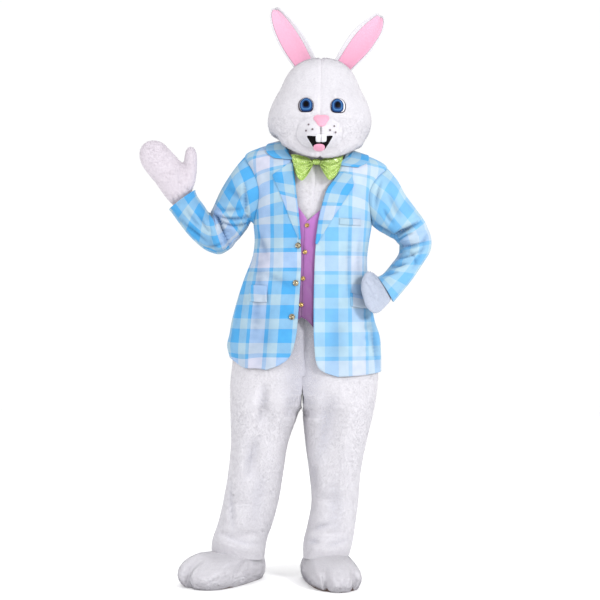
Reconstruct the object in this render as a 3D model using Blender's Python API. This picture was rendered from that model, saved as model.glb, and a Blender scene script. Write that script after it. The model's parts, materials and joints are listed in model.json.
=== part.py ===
"""Rabbit mascot costume, worn and hollow: head, bow tie, fur suit, vest, plaid jacket, mitts and feet.

Metres, +Z up, the wearer faces -Y. The origin is at the base of the neck, where the shoulders carry
the costume. "right" and "left" are the wearer's, so the right side is at -X.
Every garment is cut as panels from a form: a stack of rings, each ring a row of a table.
"""
import math

import bmesh
import bpy
import numpy as np

# ---------------------------------------------------------------- driving sizes
SEAM_GAP = 0.0003
LAID_GAP = 0.0007
JACKET_WALL = 0.0025
VEST_WALL = 0.0020
SUIT_WALL = 0.0030
HEAD_WALL = 0.0080
EAR_WALL = 0.0110
MITT_WALL = 0.0030
FOOT_WALL = 0.0040
SOLE_THICKNESS = 0.0120
FLOOR_Z = -1.4750
SQUARENESS = 2.3
BODY_MIDDLE_X = -0.060
FRONT = math.radians(-90.0)
BACK = math.radians(90.0)
RIGHT = math.radians(180.0)
LEFT = 0.0

for old in list(bpy.data.objects):
    bpy.data.objects.remove(old, do_unlink=True)
COSTUME = bpy.data.collections.new("rabbit_mascot_costume")
bpy.context.scene.collection.children.link(COSTUME)
CUTTERS = bpy.data.collections.new("cutters")
bpy.context.scene.collection.children.link(CUTTERS)


# ---------------------------------------------------------------- tables, materials and meshes
def table(columns, rows):
    """Numbers of a table, with a dictionary of its column places."""
    names = columns.split()
    values = np.array([row[-len(names):] for row in rows], dtype=float)
    return values, {name: place for place, name in enumerate(names)}


def blend(values, level):
    """A smooth row between the rows of a table (Catmull-Rom)."""
    last = len(values) - 1
    level = min(max(level, 0.0), float(last))
    low = min(int(level), last - 1)
    part = level - low
    before = values[max(low - 1, 0)]
    start = values[low]
    stop = values[low + 1]
    after = values[min(low + 2, last)]
    slope_a = (stop - before) / 2
    slope_b = (after - start) / 2
    cubic = 2 * start - 2 * stop + slope_a + slope_b
    square = -3 * start + 3 * stop - 2 * slope_a - slope_b
    return ((cubic * part + square) * part + slope_a) * part + start


def material(name, colour, roughness, metallic=0.0):
    made = bpy.data.materials.new(name)
    made.use_nodes = True
    made.diffuse_color = (*colour, 1.0)
    shader = made.node_tree.nodes["Principled BSDF"]
    shader.inputs["Base Color"].default_value = (*colour, 1.0)
    shader.inputs["Roughness"].default_value = roughness
    shader.inputs["Metallic"].default_value = metallic
    return made


def mesh_object(name, points, faces, colour, collection=COSTUME):
    """A smooth closed mesh with its faces turned outward and doubled points joined."""
    mesh = bpy.data.meshes.new(name)
    mesh.from_pydata([tuple(point) for point in points], [], faces)
    work = bmesh.new()
    work.from_mesh(mesh)
    bmesh.ops.remove_doubles(work, verts=work.verts, dist=0.00002)
    bmesh.ops.dissolve_degenerate(work, edges=work.edges, dist=0.00001)
    bmesh.ops.recalc_face_normals(work, faces=work.faces)
    work.to_mesh(mesh)
    work.free()
    mesh.polygons.foreach_set("use_smooth", [True] * len(mesh.polygons))
    mesh.materials.append(colour)
    made = bpy.data.objects.new(name, mesh)
    collection.objects.link(made)
    return made


def unit(vectors):
    length = np.linalg.norm(vectors, axis=-1, keepdims=True)
    return vectors / np.maximum(length, 1e-9)


def grid_normals(grid, around=False, outward=1.0):
    """Unit normals of a grid of points, from its rows and columns."""
    along = np.gradient(grid, axis=0)
    if around:
        across = np.roll(grid, -1, axis=1) - np.roll(grid, 1, axis=1)
    else:
        across = np.gradient(grid, axis=1)
    return unit(np.cross(along, across)) * outward


def skin(name, top, under, colour, around=False, closed_start=False):
    """A closed solid between two grids of points, rimmed along its open edges."""
    rows, columns = top.shape[:2]
    points = list(top.reshape(-1, 3)) + list(under.reshape(-1, 3))
    other = rows * columns
    faces = []
    for row in range(rows - 1):
        for column in range(columns if around else columns - 1):
            after = (column + 1) % columns
            a, b = row * columns + column, row * columns + after
            c, d = a + columns, b + columns
            for loop in ([a, b, d], [a, d, c]):
                faces.append(loop)
                faces.append([other + corner for corner in reversed(loop)])
    edges = []
    ring = range(columns if around else columns - 1)
    if not closed_start:
        edges += [(column, (column + 1) % columns) for column in ring]
    start = (rows - 1) * columns
    edges += [(start + (column + 1) % columns, start + column) for column in ring]
    if not around:
        edges += [((row + 1) * columns, row * columns) for row in range(rows - 1)]
        edges += [(row * columns + columns - 1, (row + 1) * columns + columns - 1)
                  for row in range(rows - 1)]
    faces += [[b, a, a + other, b + other] for a, b in edges]
    return mesh_object(name, points, faces, colour)


def wall(name, grid, normals, thickness, colour, lift=0.0, **ends):
    """A cloth wall whose outer face is the grid, moved out by lift."""
    top = grid + normals * lift
    return skin(name, top, top - normals * thickness, colour, **ends)


def capped(name, rings, collection, colour):
    """A closed solid through rings of points, with its first and last ring filled."""
    count = rings.shape[1]
    points = list(rings.reshape(-1, 3))
    faces = [[row * count + column, row * count + (column + 1) % count,
              (row + 1) * count + (column + 1) % count, (row + 1) * count + column]
             for row in range(len(rings) - 1) for column in range(count)]
    faces.append(list(range(count)))
    faces.append([(len(rings) - 1) * count + column for column in range(count)])
    return mesh_object(name, points, faces, colour, collection)


# ---------------------------------------------------------------- forms
FORM_COLUMNS = "side_z front_z back_z tilt centre_x centre_y half_width front_depth back_depth cap"
SLOPE_STEP = 0.02


class Form:
    """A stack of rings. An angle of 0 is the left side, -90 degrees the front."""

    def __init__(self, rows, creases=()):
        self.values, self.column = table(FORM_COLUMNS, rows)
        self.creases = creases

    def inset(self, amount):
        """The same form inside this one; amount holds one number for each row."""
        made = Form([tuple(row) for row in self.values], self.creases)
        amount = np.array(amount)
        for name in ("half_width", "front_depth", "back_depth"):
            made.values[:, self.column[name]] -= amount
        cap = made.values[:, self.column["cap"]] * amount
        for name in ("side_z", "front_z", "back_z"):
            made.values[:, self.column[name]] -= cap
        return made

    def plain(self, level, angle):
        (side_z, front_z, back_z, tilt, centre_x, centre_y,
         half_width, front_depth, back_depth, _) = blend(self.values, level)
        cosine = math.cos(angle)
        sine = math.sin(angle)
        depth = front_depth if sine < 0 else back_depth
        middle_z = front_z if sine < 0 else back_z
        power = 2.0 / SQUARENESS
        return np.array((
            centre_x + half_width * math.copysign(abs(cosine) ** power, cosine),
            centre_y + depth * math.copysign(abs(sine) ** power, sine),
            side_z * cosine ** 2 + middle_z * sine ** 2 + tilt * cosine))

    def plain_normal(self, level, angle):
        up = self.plain(level + SLOPE_STEP, angle) - self.plain(level - SLOPE_STEP, angle)
        across = self.plain(level, angle + SLOPE_STEP) - self.plain(level, angle - SLOPE_STEP)
        return unit(np.cross(across, up))

    def point(self, level, angle):
        spot = self.plain(level, angle)
        push = 0.0
        for crease in self.creases:
            push += crease(spot, angle)
        if push:
            spot = spot + self.plain_normal(level, angle) * push
        return spot

    def normal(self, level, angle):
        if not self.creases:
            return self.plain_normal(level, angle)
        up = self.point(level + SLOPE_STEP, angle) - self.point(level - SLOPE_STEP, angle)
        across = self.point(level, angle + SLOPE_STEP) - self.point(level, angle - SLOPE_STEP)
        return unit(np.cross(across, up))

    def angle_at(self, level, x):
        """The front angle where the ring passes x."""
        row = blend(self.values, level)
        share = (x - row[self.column["centre_x"]]) / row[self.column["half_width"]]
        share = min(max(share, -1.0), 1.0)
        return -math.acos(math.copysign(abs(share) ** (SQUARENESS / 2), share))

    def level_at(self, z, angle=FRONT):
        """The level where the form's line at this angle passes z."""
        low = 0.0
        high = len(self.values) - 1.0
        for _ in range(22):
            middle = (low + high) / 2
            if self.plain(middle, angle)[2] < z:
                low = middle
            else:
                high = middle
        return (low + high) / 2

    def at(self, x, z):
        """Level and angle of the spot on the front at this x and z."""
        angle = FRONT
        level = 0.0
        for _ in range(5):
            level = self.level_at(z, angle)
            angle = self.angle_at(level, x)
        return level, angle

    def front(self, x, z, lift=0.0):
        level, angle = self.at(x, z)
        return self.point(level, angle) + self.normal(level, angle) * lift

    def edge_angle(self, level, edge):
        """The angle where the ring meets a front edge, given as x for each z."""
        z = self.plain(level, FRONT)[2]
        angle = FRONT
        for _ in range(5):
            angle = self.angle_at(level, edge(z))
            z = self.plain(level, angle)[2]
        return angle


def panel(name, form, levels, start, stop, columns, thickness, colour, bottom=None):
    """A cloth panel of a form between two angle limits, half a seam gap in from each."""
    grid = []
    normals = []
    for row, level in enumerate(levels):
        line = []
        lean = []
        for column in range(columns):
            share = column / (columns - 1)
            here = level if bottom is None else bottom(share, row / (len(levels) - 1))
            angle = start(here) + (stop(here) - start(here)) * share
            line.append(form.point(here, angle))
            lean.append(form.normal(here, angle))
        line = np.array(line)
        line[0] += unit(line[1] - line[0]) * SEAM_GAP / 2
        line[-1] += unit(line[-2] - line[-1]) * SEAM_GAP / 2
        grid.append(line)
        normals.append(np.array(lean))
    return wall(name, np.array(grid), np.array(normals), thickness, colour)


def patch(name, form, edge_a, edge_b, rows, columns, lift, thickness, colour):
    """A piece laid on a form's front, ruled between two edges of (x, z) spots."""
    top = []
    under = []
    for row in range(rows):
        share = row / (rows - 1)
        a = np.array(edge_a(share))
        b = np.array(edge_b(share))
        spots = [a + (b - a) * column / (columns - 1) for column in range(columns)]
        sunk = [lift(*spot) if callable(lift) else lift for spot in spots]
        under.append([form.front(*spot, low) for spot, low in zip(spots, sunk)])
        top.append([form.front(*spot, low + thickness) for spot, low in zip(spots, sunk)])
    return skin(name, np.array(top), np.array(under), colour)


def disc(name, form, centre, outline, lift, height, dome, colour, rings=4, spokes=16):
    """A round or shaped piece laid on a form's front, domed toward its centre."""
    top = []
    under = []
    for ring in range(rings + 1):
        share = ring / rings
        upper = []
        lower = []
        for spoke in range(spokes):
            reach = outline(2 * math.pi * spoke / spokes)
            x = centre[0] + reach[0] * share
            z = centre[1] + reach[1] * share
            low = lift(x, z) if callable(lift) else lift
            rise = height + dome * (1.0 - share ** 2)
            lower.append(form.front(x, z, low))
            upper.append(form.front(x, z, low + rise))
        top.append(upper)
        under.append(lower)
    return skin(name, np.array(top), np.array(under), colour, around=True, closed_start=True)


def ellipse(half_width, half_height, power=1.0):
    def outline(turn):
        cosine = math.cos(turn)
        sine = math.sin(turn)
        return (half_width * math.copysign(abs(cosine) ** power, cosine),
                half_height * math.copysign(abs(sine) ** power, sine))
    return outline


def along(rows):
    """A smooth line through rows of numbers, for a share from 0 to 1."""
    values = np.array(rows, dtype=float)
    return lambda share: blend(values, share * (len(values) - 1))


def spaced(*stops):
    """Levels from (start, stop, count) stretches, each stop left to the next start."""
    levels = []
    for start, stop, count in stops:
        levels += [start + (stop - start) * step / count for step in range(count)]
    return levels + [stops[-1][1]]


# ---------------------------------------------------------------- colours
PLAID_BLUE = material("plaid_suiting", (0.42, 0.70, 0.88), 0.75)
PLAID_TRIM = material("plaid_trim", (0.50, 0.75, 0.90), 0.75)
ORCHID = material("orchid_satin", (0.60, 0.20, 0.62), 0.55)
WHITE_PLUSH = material("white_plush", (0.86, 0.85, 0.88), 0.95)
PINK_PLUSH = material("pink_plush", (0.95, 0.52, 0.66), 0.85)
LIME_SEQUIN = material("lime_sequin", (0.45, 0.85, 0.15), 0.35)
GOLD = material("gold_button", (0.83, 0.60, 0.25), 0.30, 1.0)
BRASS = material("dark_brass_button", (0.30, 0.22, 0.12), 0.35, 1.0)
NOSE_PINK = material("nose_pink", (0.95, 0.45, 0.58), 0.45)
MOUTH_BLACK = material("mouth_black", (0.02, 0.01, 0.015), 0.60)
TOOTH_WHITE = material("tooth_white", (0.90, 0.90, 0.88), 0.35)
EYE_DARK = material("eye_rim_dark", (0.03, 0.03, 0.06), 0.30)
EYE_WHITE = material("eye_white", (0.92, 0.93, 0.95), 0.20)
EYE_BLUE = material("eye_blue", (0.10, 0.20, 0.45), 0.15)
SOLE_BROWN = material("sole_brown", (0.12, 0.08, 0.06), 0.80)

# ---------------------------------------------------------------- body form
# One form carries every layer of the upper body. Its outer face is the jacket's; the last two
# columns give how deep the vest and the fur suit lie under it.
BODY = (
    # side_z front_z  back_z   tilt    cx      cy    half_w  front   back   cap   vest    suit
    (-0.705, -0.738, -0.716, -0.025, -0.045, 0.005, 0.2730, 0.170, 0.165, 0.0, 0.0055, 0.0110),
    (-0.650, -0.665, -0.655, -0.012, -0.050, 0.005, 0.2770, 0.168, 0.163, 0.0, 0.0055, 0.0120),
    (-0.600, -0.605, -0.602, -0.005, -0.048, 0.004, 0.2700, 0.163, 0.158, 0.0, 0.0065, 0.0150),
    (-0.545, -0.545, -0.545, 0.000, -0.053, 0.003, 0.2560, 0.157, 0.150, 0.0, 0.0080, 0.0180),
    (-0.470, -0.470, -0.470, 0.000, -0.049, 0.002, 0.2400, 0.150, 0.141, 0.0, 0.0095, 0.0200),
    (-0.400, -0.400, -0.400, 0.000, -0.043, 0.001, 0.2230, 0.143, 0.133, 0.0, 0.0100, 0.0222),
    (-0.325, -0.325, -0.325, 0.000, -0.030, 0.000, 0.2070, 0.138, 0.130, 0.0, 0.0105, 0.0220),
    (-0.265, -0.265, -0.265, 0.000, -0.022, 0.000, 0.2060, 0.137, 0.130, 0.0, 0.0100, 0.0222),
    (-0.205, -0.205, -0.205, 0.000, -0.019, 0.000, 0.2130, 0.137, 0.131, 0.0, 0.0092, 0.0236),
    (-0.145, -0.145, -0.145, 0.000, -0.017, 0.000, 0.2200, 0.136, 0.130, 0.0, 0.0088, 0.0195),
    (-0.085, -0.088, -0.085, -0.004, -0.014, 0.000, 0.2310, 0.132, 0.127, 0.0, 0.0078, 0.0175),
    (-0.030, -0.038, -0.030, -0.012, -0.011, 0.000, 0.2440, 0.124, 0.120, 0.1, 0.0068, 0.0160),
    (0.022, 0.000, 0.012, -0.021, -0.007, 0.000, 0.2560, 0.112, 0.110, 0.6, 0.0058, 0.0150),
    (0.0525, 0.024, 0.040, -0.020, -0.003, 0.000, 0.2050, 0.101, 0.104, 1.0, 0.0050, 0.0140),
    (0.0665, 0.042, 0.060, -0.020, 0.001, 0.000, 0.1580, 0.092, 0.096, 1.0, 0.0046, 0.0125),
    (0.0760, 0.055, 0.078, -0.019, 0.005, 0.000, 0.1170, 0.084, 0.089, 1.0, 0.0044, 0.0112),
)
HEM, UNDERARM, TIP, NECK = 0, 8, 12, 15
ARMHOLE_STEPS = 6
body = Form([row[:10] for row in BODY])
vest_form = body.inset([row[10] for row in BODY])
suit_depth = [row[11] for row in BODY]


def armhole(level, opening, base=UNDERARM, tip=TIP):
    """Half the angle of the armhole at this level."""
    share = (level - base) / (tip - base)
    if share <= 0.0 or share >= 1.0:
        return 0.0
    return math.radians(opening) * math.sin(math.pi * share) ** 0.6


# ---------------------------------------------------------------- jacket body
# Front edges, right and left, as x for each z: hem corner, buttoned edge, then the lapel's roll.
EDGES, EDGE = table("z right left", (
    (-0.760, -0.190, 0.110), (-0.738, -0.165, 0.024), (-0.712, -0.136, 0.000),
    (-0.690, -0.110, -0.007), (-0.653, -0.088, -0.013), (-0.583, -0.077, -0.016),
    (-0.493, -0.070, -0.016), (-0.398, -0.064, -0.014), (-0.300, -0.062, -0.010),
    (-0.200, -0.070, 0.002), (-0.145, -0.075, 0.014), (-0.090, -0.082, 0.031),
    (-0.050, -0.086, 0.058), (-0.010, -0.090, 0.083), (0.030, -0.100, 0.104),
    (0.055, -0.106, 0.113), (0.100, -0.109, 0.114)))


def front_edge(values, column, side):
    """The front edge of one side, as x for each z."""
    heights = values[:, column["z"]]
    places = values[:, column[side]]
    return lambda z: float(np.interp(z, heights, places))


right_edge = front_edge(EDGES, EDGE, "right")
left_edge = front_edge(EDGES, EDGE, "left")
JACKET_OPENING = 33.0
jacket_levels = spaced((HEM, 1, 4), (1, UNDERARM, 5),
                       (UNDERARM, TIP, ARMHOLE_STEPS), (TIP, NECK, 3))


def hole(level):
    return armhole(level, JACKET_OPENING)


panel("jacket_front_right", body, jacket_levels, lambda t: body.edge_angle(t, right_edge),
      lambda t: -RIGHT + hole(t), 7, JACKET_WALL, PLAID_BLUE)
panel("jacket_front_left", body, jacket_levels, lambda t: body.edge_angle(t, left_edge),
      lambda t: LEFT - hole(t), 7, JACKET_WALL, PLAID_BLUE)
panel("jacket_back_right", body, jacket_levels, lambda t: BACK,
      lambda t: RIGHT - hole(t), 7, JACKET_WALL, PLAID_BLUE)
panel("jacket_back_left", body, jacket_levels, lambda t: BACK,
      lambda t: LEFT + hole(t), 7, JACKET_WALL, PLAID_BLUE)

# Lapels, as rows of inner and outer edge spots from the bottom point to the notch.
LAPEL_RIGHT = along((
    # inner x, inner z, outer x, outer z
    (-0.0650, -0.262, -0.0680, -0.264), (-0.0700, -0.200, -0.098, -0.195),
    (-0.0750, -0.145, -0.122, -0.132), (-0.0820, -0.090, -0.145, -0.075),
    (-0.0860, -0.050, -0.160, -0.040), (-0.0890, -0.018, -0.146, -0.026)))
LAPEL_LEFT = along((
    (-0.0080, -0.278, -0.0050, -0.280), (0.0025, -0.200, 0.042, -0.200),
    (0.0145, -0.145, 0.078, -0.145), (0.0315, -0.090, 0.107, -0.100),
    (0.0500, -0.062, 0.123, -0.070), (0.0760, -0.026, 0.116, -0.032)))
for side, rows in (("right", LAPEL_RIGHT), ("left", LAPEL_LEFT)):
    patch(f"lapel_{side}", body, lambda s: rows(s)[:2], lambda s: rows(s)[2:], 8, 4,
          LAID_GAP, JACKET_WALL, PLAID_TRIM)

# Collar, turned down round the neck, as level and angle of its neck edge and its outer edge.
COLLAR = np.array((
    # inner level, inner angle, outer level, outer angle, rise
    (12.35, -107, 12.20, -124, 0.0020), (13.30, -122, 12.40, -142, 0.0020),
    (14.20, -142, 12.75, -163, 0.0015), (15.00, -180, 13.00, -180, 0.0028),
    (15.00, -210, 13.00, -210, 0.0000), (15.00, -240, 13.00, -240, 0.0000),
    (15.00, -270, 13.00, -270, 0.0000), (15.00, -300, 13.00, -300, 0.0000),
    (15.00, -330, 13.00, -330, 0.0000), (15.00, -360, 13.00, -360, 0.0018),
    (14.20, -398, 12.75, -377, 0.0015), (13.20, -418, 12.30, -398, 0.0020),
    (12.10, -434, 11.90, -418, 0.0020)))
COLLAR_STEPS = 2 * (len(COLLAR) - 1)
grid = []
lean = []
for step in range(COLLAR_STEPS + 1):
    low = min(step // 2, len(COLLAR) - 2)
    inner_level, inner_angle, outer_level, outer_angle, rise = (
        COLLAR[low] + (COLLAR[low + 1] - COLLAR[low]) * (step / 2 - low))
    line = []
    tips = []
    for share in (0.0, 0.5, 1.0):
        level = inner_level + (outer_level - inner_level) * share
        angle = math.radians(inner_angle + (outer_angle - inner_angle) * share)
        normal = body.normal(level, angle)
        line.append(body.point(level, angle) + normal * rise)
        tips.append(normal)
    grid.append(line)
    lean.append(tips)
wall("collar", np.array(grid), np.array(lean), JACKET_WALL, PLAID_TRIM,
     lift=SEAM_GAP + JACKET_WALL)

patch("breast_welt", body, lambda s: (0.073, -0.210 + 0.021 * s),
      lambda s: (0.150, -0.213 + 0.022 * s), 2, 5, 2 * LAID_GAP, JACKET_WALL, PLAID_TRIM)
patch("pocket_flap_right", body, lambda s: (-0.179 - 0.002 * s, -0.484 + 0.058 * s),
      lambda s: (-0.243 - 0.002 * s, -0.480 + 0.058 * s), 4, 6, SEAM_GAP, JACKET_WALL, PLAID_TRIM)


FLAP_RISE = 0.022
FLAP_SEAT = 0.0004


def flap_lift(x, z):
    """The left flap is held off the jacket by the fingers of the mitt."""
    outward = max(0.0, (x - 0.110) / 0.060)
    downward = max(0.0, (-0.450 - z) / 0.050)
    return FLAP_RISE * outward * downward - FLAP_SEAT


patch("pocket_flap_left", body, lambda s: (0.112, -0.496 + 0.046 * s),
      lambda s: (0.166, -0.508 + 0.044 * s), 4, 6, flap_lift, JACKET_WALL, PLAID_TRIM)

BUTTON_HEIGHT = 0.0030
BUTTON_DOME = 0.0015
JACKET_BUTTONS = (
    # x, height, lift
    (-0.071, -0.284, 0.0007), (-0.080, -0.416, 0.0007), (-0.093, -0.534, -0.0002))
for number, (x, z, lift) in enumerate(JACKET_BUTTONS, 1):
    disc(f"jacket_button_{number}", body, (x, z), ellipse(0.0105, 0.0105), lift, BUTTON_HEIGHT,
         BUTTON_DOME, BRASS, rings=1, spokes=12)

# ---------------------------------------------------------------- vest
VEST_OPENING = 44.0
VEST_TIP = 13
VEST_HEM_Z = -0.525
VEST_POINT = 0.085


# Front edges: the closed middle up to the V, then the two sides of the V neck.
VEST_EDGES, VEST_EDGE = table("z right left", (
    (-0.640, -0.0630, -0.0630), (-0.220, -0.0475, -0.0475), (-0.196, -0.0390, -0.0350),
    (-0.145, -0.0730, 0.0220), (-0.100, -0.0920, 0.0550), (-0.050, -0.1030, 0.0840),
    (0.000, -0.1060, 0.1000), (0.100, -0.1060, 0.1080)))


vest_right_edge = front_edge(VEST_EDGES, VEST_EDGE, "right")
vest_left_edge = front_edge(VEST_EDGES, VEST_EDGE, "left")


def vest_hem(share):
    """The level of the pointed hem, from the middle (0) to the side (1)."""
    z = VEST_HEM_Z - VEST_POINT * math.exp(-((share - 0.30) / 0.16) ** 2) + 0.02 * share
    return vest_form.level_at(z)


def vest_hole(level):
    return armhole(level, VEST_OPENING, UNDERARM, VEST_TIP)


VEST_LOW_ROWS = 4
vest_levels = spaced((2, UNDERARM, VEST_LOW_ROWS), (UNDERARM, TIP, ARMHOLE_STEPS), (TIP, NECK, 3))


def vest_rows(share, part):
    """Rows run from the shaped hem to the neck; the lowest follow the hem."""
    place = part * (len(vest_levels) - 1)
    level = float(np.interp(place, range(len(vest_levels)), vest_levels))
    low = vest_hem(share)
    fixed = vest_levels[VEST_LOW_ROWS]
    if level >= fixed:
        return level
    return low + (fixed - low) * place / VEST_LOW_ROWS


panel("vest_right", vest_form, vest_levels,
      lambda t: vest_form.edge_angle(t, vest_right_edge),
      lambda t: -RIGHT + vest_hole(t), 8, VEST_WALL, ORCHID, bottom=vest_rows)
panel("vest_left", vest_form, vest_levels,
      lambda t: vest_form.edge_angle(t, vest_left_edge),
      lambda t: LEFT - vest_hole(t), 8, VEST_WALL, ORCHID, bottom=vest_rows)
panel("vest_back", vest_form, vest_levels, lambda t: RIGHT - vest_hole(t),
      lambda t: LEFT + vest_hole(t), 12, VEST_WALL, ORCHID)
VEST_BUTTONS = (
    # height, lift off the form where the panel's flat facets lie under it
    (-0.213, 0.0003), (-0.307, 0.0014), (-0.400, 0.0014), (-0.492, 0.0004))
for number, (z, lift) in enumerate(VEST_BUTTONS, 1):
    x = -0.040 + 0.075 * (z + 0.213)
    disc(f"vest_button_{number}", vest_form, (x, z), ellipse(0.008, 0.008), lift, BUTTON_HEIGHT,
         BUTTON_DOME, GOLD, rings=1, spokes=12)

# ---------------------------------------------------------------- fur suit
# Each half is one form from ankle to neck. The ring's inner side passes the middle above the
# crotch, where the panels stop at the centre seam, and closes round each leg below it.
LEG_RIGHT = (
    # outer x, inner x, outer z, inner z, centre y, front depth, back depth
    (-0.3840, -0.1930, -1.378, -1.394, 0.020, 0.105, 0.100),
    (-0.3810, -0.1840, -1.336, -1.340, 0.018, 0.106, 0.102),
    (-0.3600, -0.1620, -1.274, -1.274, 0.015, 0.104, 0.103),
    (-0.3400, -0.1400, -1.190, -1.190, 0.010, 0.106, 0.106),
    (-0.3230, -0.1240, -1.090, -1.090, 0.004, 0.110, 0.110),
    (-0.3130, -0.1080, -0.990, -0.990, 0.001, 0.118, 0.118),
    (-0.3140, -0.0800, -0.905, -0.905, 0.000, 0.128, 0.128),
    (-0.3150, -0.0620, -0.866, -0.866, 0.000, 0.137, 0.137),
    (-0.3155, -0.0200, -0.842, -0.842, 0.002, 0.146, 0.146),
    (-0.3160, 0.0700, -0.810, -0.810, 0.003, 0.154, 0.152),
    (-0.3155, 0.1900, -0.765, -0.775, 0.004, 0.160, 0.157),
)
LEG_LEFT = (
    (0.1120, -0.0540, -1.386, -1.394, -0.010, 0.100, 0.110),
    (0.1240, -0.0530, -1.345, -1.345, -0.004, 0.103, 0.108),
    (0.1330, -0.0400, -1.290, -1.290, 0.002, 0.100, 0.104),
    (0.1450, -0.0240, -1.200, -1.200, 0.006, 0.102, 0.104),
    (0.1540, -0.0330, -1.090, -1.090, 0.004, 0.110, 0.110),
    (0.1730, -0.0460, -0.990, -0.990, 0.001, 0.118, 0.118),
    (0.1930, -0.0540, -0.905, -0.905, 0.000, 0.128, 0.128),
    (0.2010, -0.0600, -0.866, -0.866, 0.000, 0.137, 0.137),
    (0.2060, -0.1040, -0.842, -0.842, 0.002, 0.146, 0.146),
    (0.2110, -0.1900, -0.810, -0.810, 0.003, 0.154, 0.152),
    (0.2160, -0.3100, -0.765, -0.775, 0.004, 0.160, 0.157),
)
# The suit's neck, up inside the head, as rows of the body form.
NECK_TUBE = (
    (0.0900, 0.080, 0.094, -0.012, 0.005, 0.000, 0.1040, 0.082, 0.085, 0.2),
    (0.1120, 0.100, 0.112, -0.006, 0.005, 0.000, 0.1040, 0.0925, 0.0905, 0.0),
    (0.1400, 0.135, 0.140, 0.000, 0.005, 0.000, 0.1005, 0.0945, 0.0925, 0.0),
)
LEG_ROWS = len(LEG_RIGHT)


def crease(centre_x, centre_z, half_width, half_height, slant, depth, front=True):
    """A long soft fold on the front or back: negative depth is a trough."""
    def push(spot, angle):
        facing = -math.sin(angle) if front else math.sin(angle)
        if facing <= 0.0:
            return 0.0
        across = (spot[0] - centre_x - slant * (spot[2] - centre_z)) / half_width
        upward = (spot[2] - centre_z) / half_height
        return depth * facing * math.exp(-across ** 2 - upward ** 2)
    return push


LEG_CREASES = (
    # centre x, centre z, half width, half height, slant, depth, on the front
    (-0.190, -0.870, 0.020, 0.090, -0.05, -0.012, True),
    (-0.245, -0.960, 0.028, 0.120, 0.10, 0.008, True),
    (-0.230, -1.060, 0.018, 0.080, -0.15, -0.010, True),
    (-0.280, -1.200, 0.040, 0.022, 0.00, -0.007, True),
    (-0.260, -1.310, 0.060, 0.020, 0.00, -0.010, True),
    (0.045, -0.970, 0.030, 0.140, 0.15, -0.011, True),
    (0.110, -1.000, 0.028, 0.150, 0.10, 0.006, True),
    (0.030, -1.180, 0.040, 0.020, 0.00, -0.008, True),
    (0.010, -1.300, 0.060, 0.018, 0.00, -0.010, True),
    (-0.250, -1.020, 0.026, 0.140, 0.10, -0.010, False),
    (-0.240, -1.240, 0.060, 0.022, 0.00, -0.008, False),
    (0.070, -1.020, 0.026, 0.140, -0.05, -0.010, False),
    (0.060, -1.240, 0.060, 0.022, 0.00, -0.008, False),
)
creases = tuple(crease(*row) for row in LEG_CREASES)


def suit_half(legs, outward):
    """The form of one half of the suit; outward is -1 on the right and 1 on the left."""
    rows = []
    for outer, inner, outer_z, inner_z, centre_y, front, back in legs:
        rows.append(((outer_z + inner_z) / 2, (outer_z + inner_z) / 2, (outer_z + inner_z) / 2,
                     outward * (outer_z - inner_z) / 2, (outer + inner) / 2, centre_y,
                     abs(outer - inner) / 2, front, back, 0.0))
    rows += [tuple(row) for row in body.inset(suit_depth).values]
    rows += list(NECK_TUBE)
    return Form(rows, creases)


suit_right = suit_half(LEG_RIGHT, -1.0)
suit_left = suit_half(LEG_LEFT, 1.0)
SUIT_OPENING = 30.0
SUIT_UNDERARM = LEG_ROWS + UNDERARM + 0.5
SUIT_TIP = LEG_ROWS + TIP
SUIT_COLUMNS = 8
SUIT_NECK = LEG_ROWS + NECK
suit_levels = spaced((0, 1, 2), (1, 3, 2), (3, 7, 4), (7, LEG_ROWS, 4),
                     (LEG_ROWS, SUIT_UNDERARM, 4), (SUIT_UNDERARM, SUIT_TIP, ARMHOLE_STEPS),
                     (SUIT_TIP, SUIT_NECK, 3), (SUIT_NECK, SUIT_NECK + len(NECK_TUBE), 2))


def suit_hole(level):
    return armhole(level, SUIT_OPENING, SUIT_UNDERARM, SUIT_TIP)


def middle_edge(form, level):
    """The angle of the centre seam, or of the inseam below the crotch."""
    if level >= LEG_ROWS:
        return FRONT
    return form.angle_at(level, BODY_MIDDLE_X + 0.004 * level / LEG_ROWS)


panel("suit_front_right", suit_right, suit_levels, lambda t: middle_edge(suit_right, t),
      lambda t: -RIGHT + suit_hole(t), SUIT_COLUMNS, SUIT_WALL, WHITE_PLUSH)
panel("suit_back_right", suit_right, suit_levels, lambda t: -middle_edge(suit_right, t),
      lambda t: RIGHT - suit_hole(t), SUIT_COLUMNS, SUIT_WALL, WHITE_PLUSH)
panel("suit_front_left", suit_left, suit_levels, lambda t: middle_edge(suit_left, t),
      lambda t: LEFT - suit_hole(t), SUIT_COLUMNS, SUIT_WALL, WHITE_PLUSH)
panel("suit_back_left", suit_left, suit_levels, lambda t: -middle_edge(suit_left, t),
      lambda t: LEFT + suit_hole(t), SUIT_COLUMNS, SUIT_WALL, WHITE_PLUSH)

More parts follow.
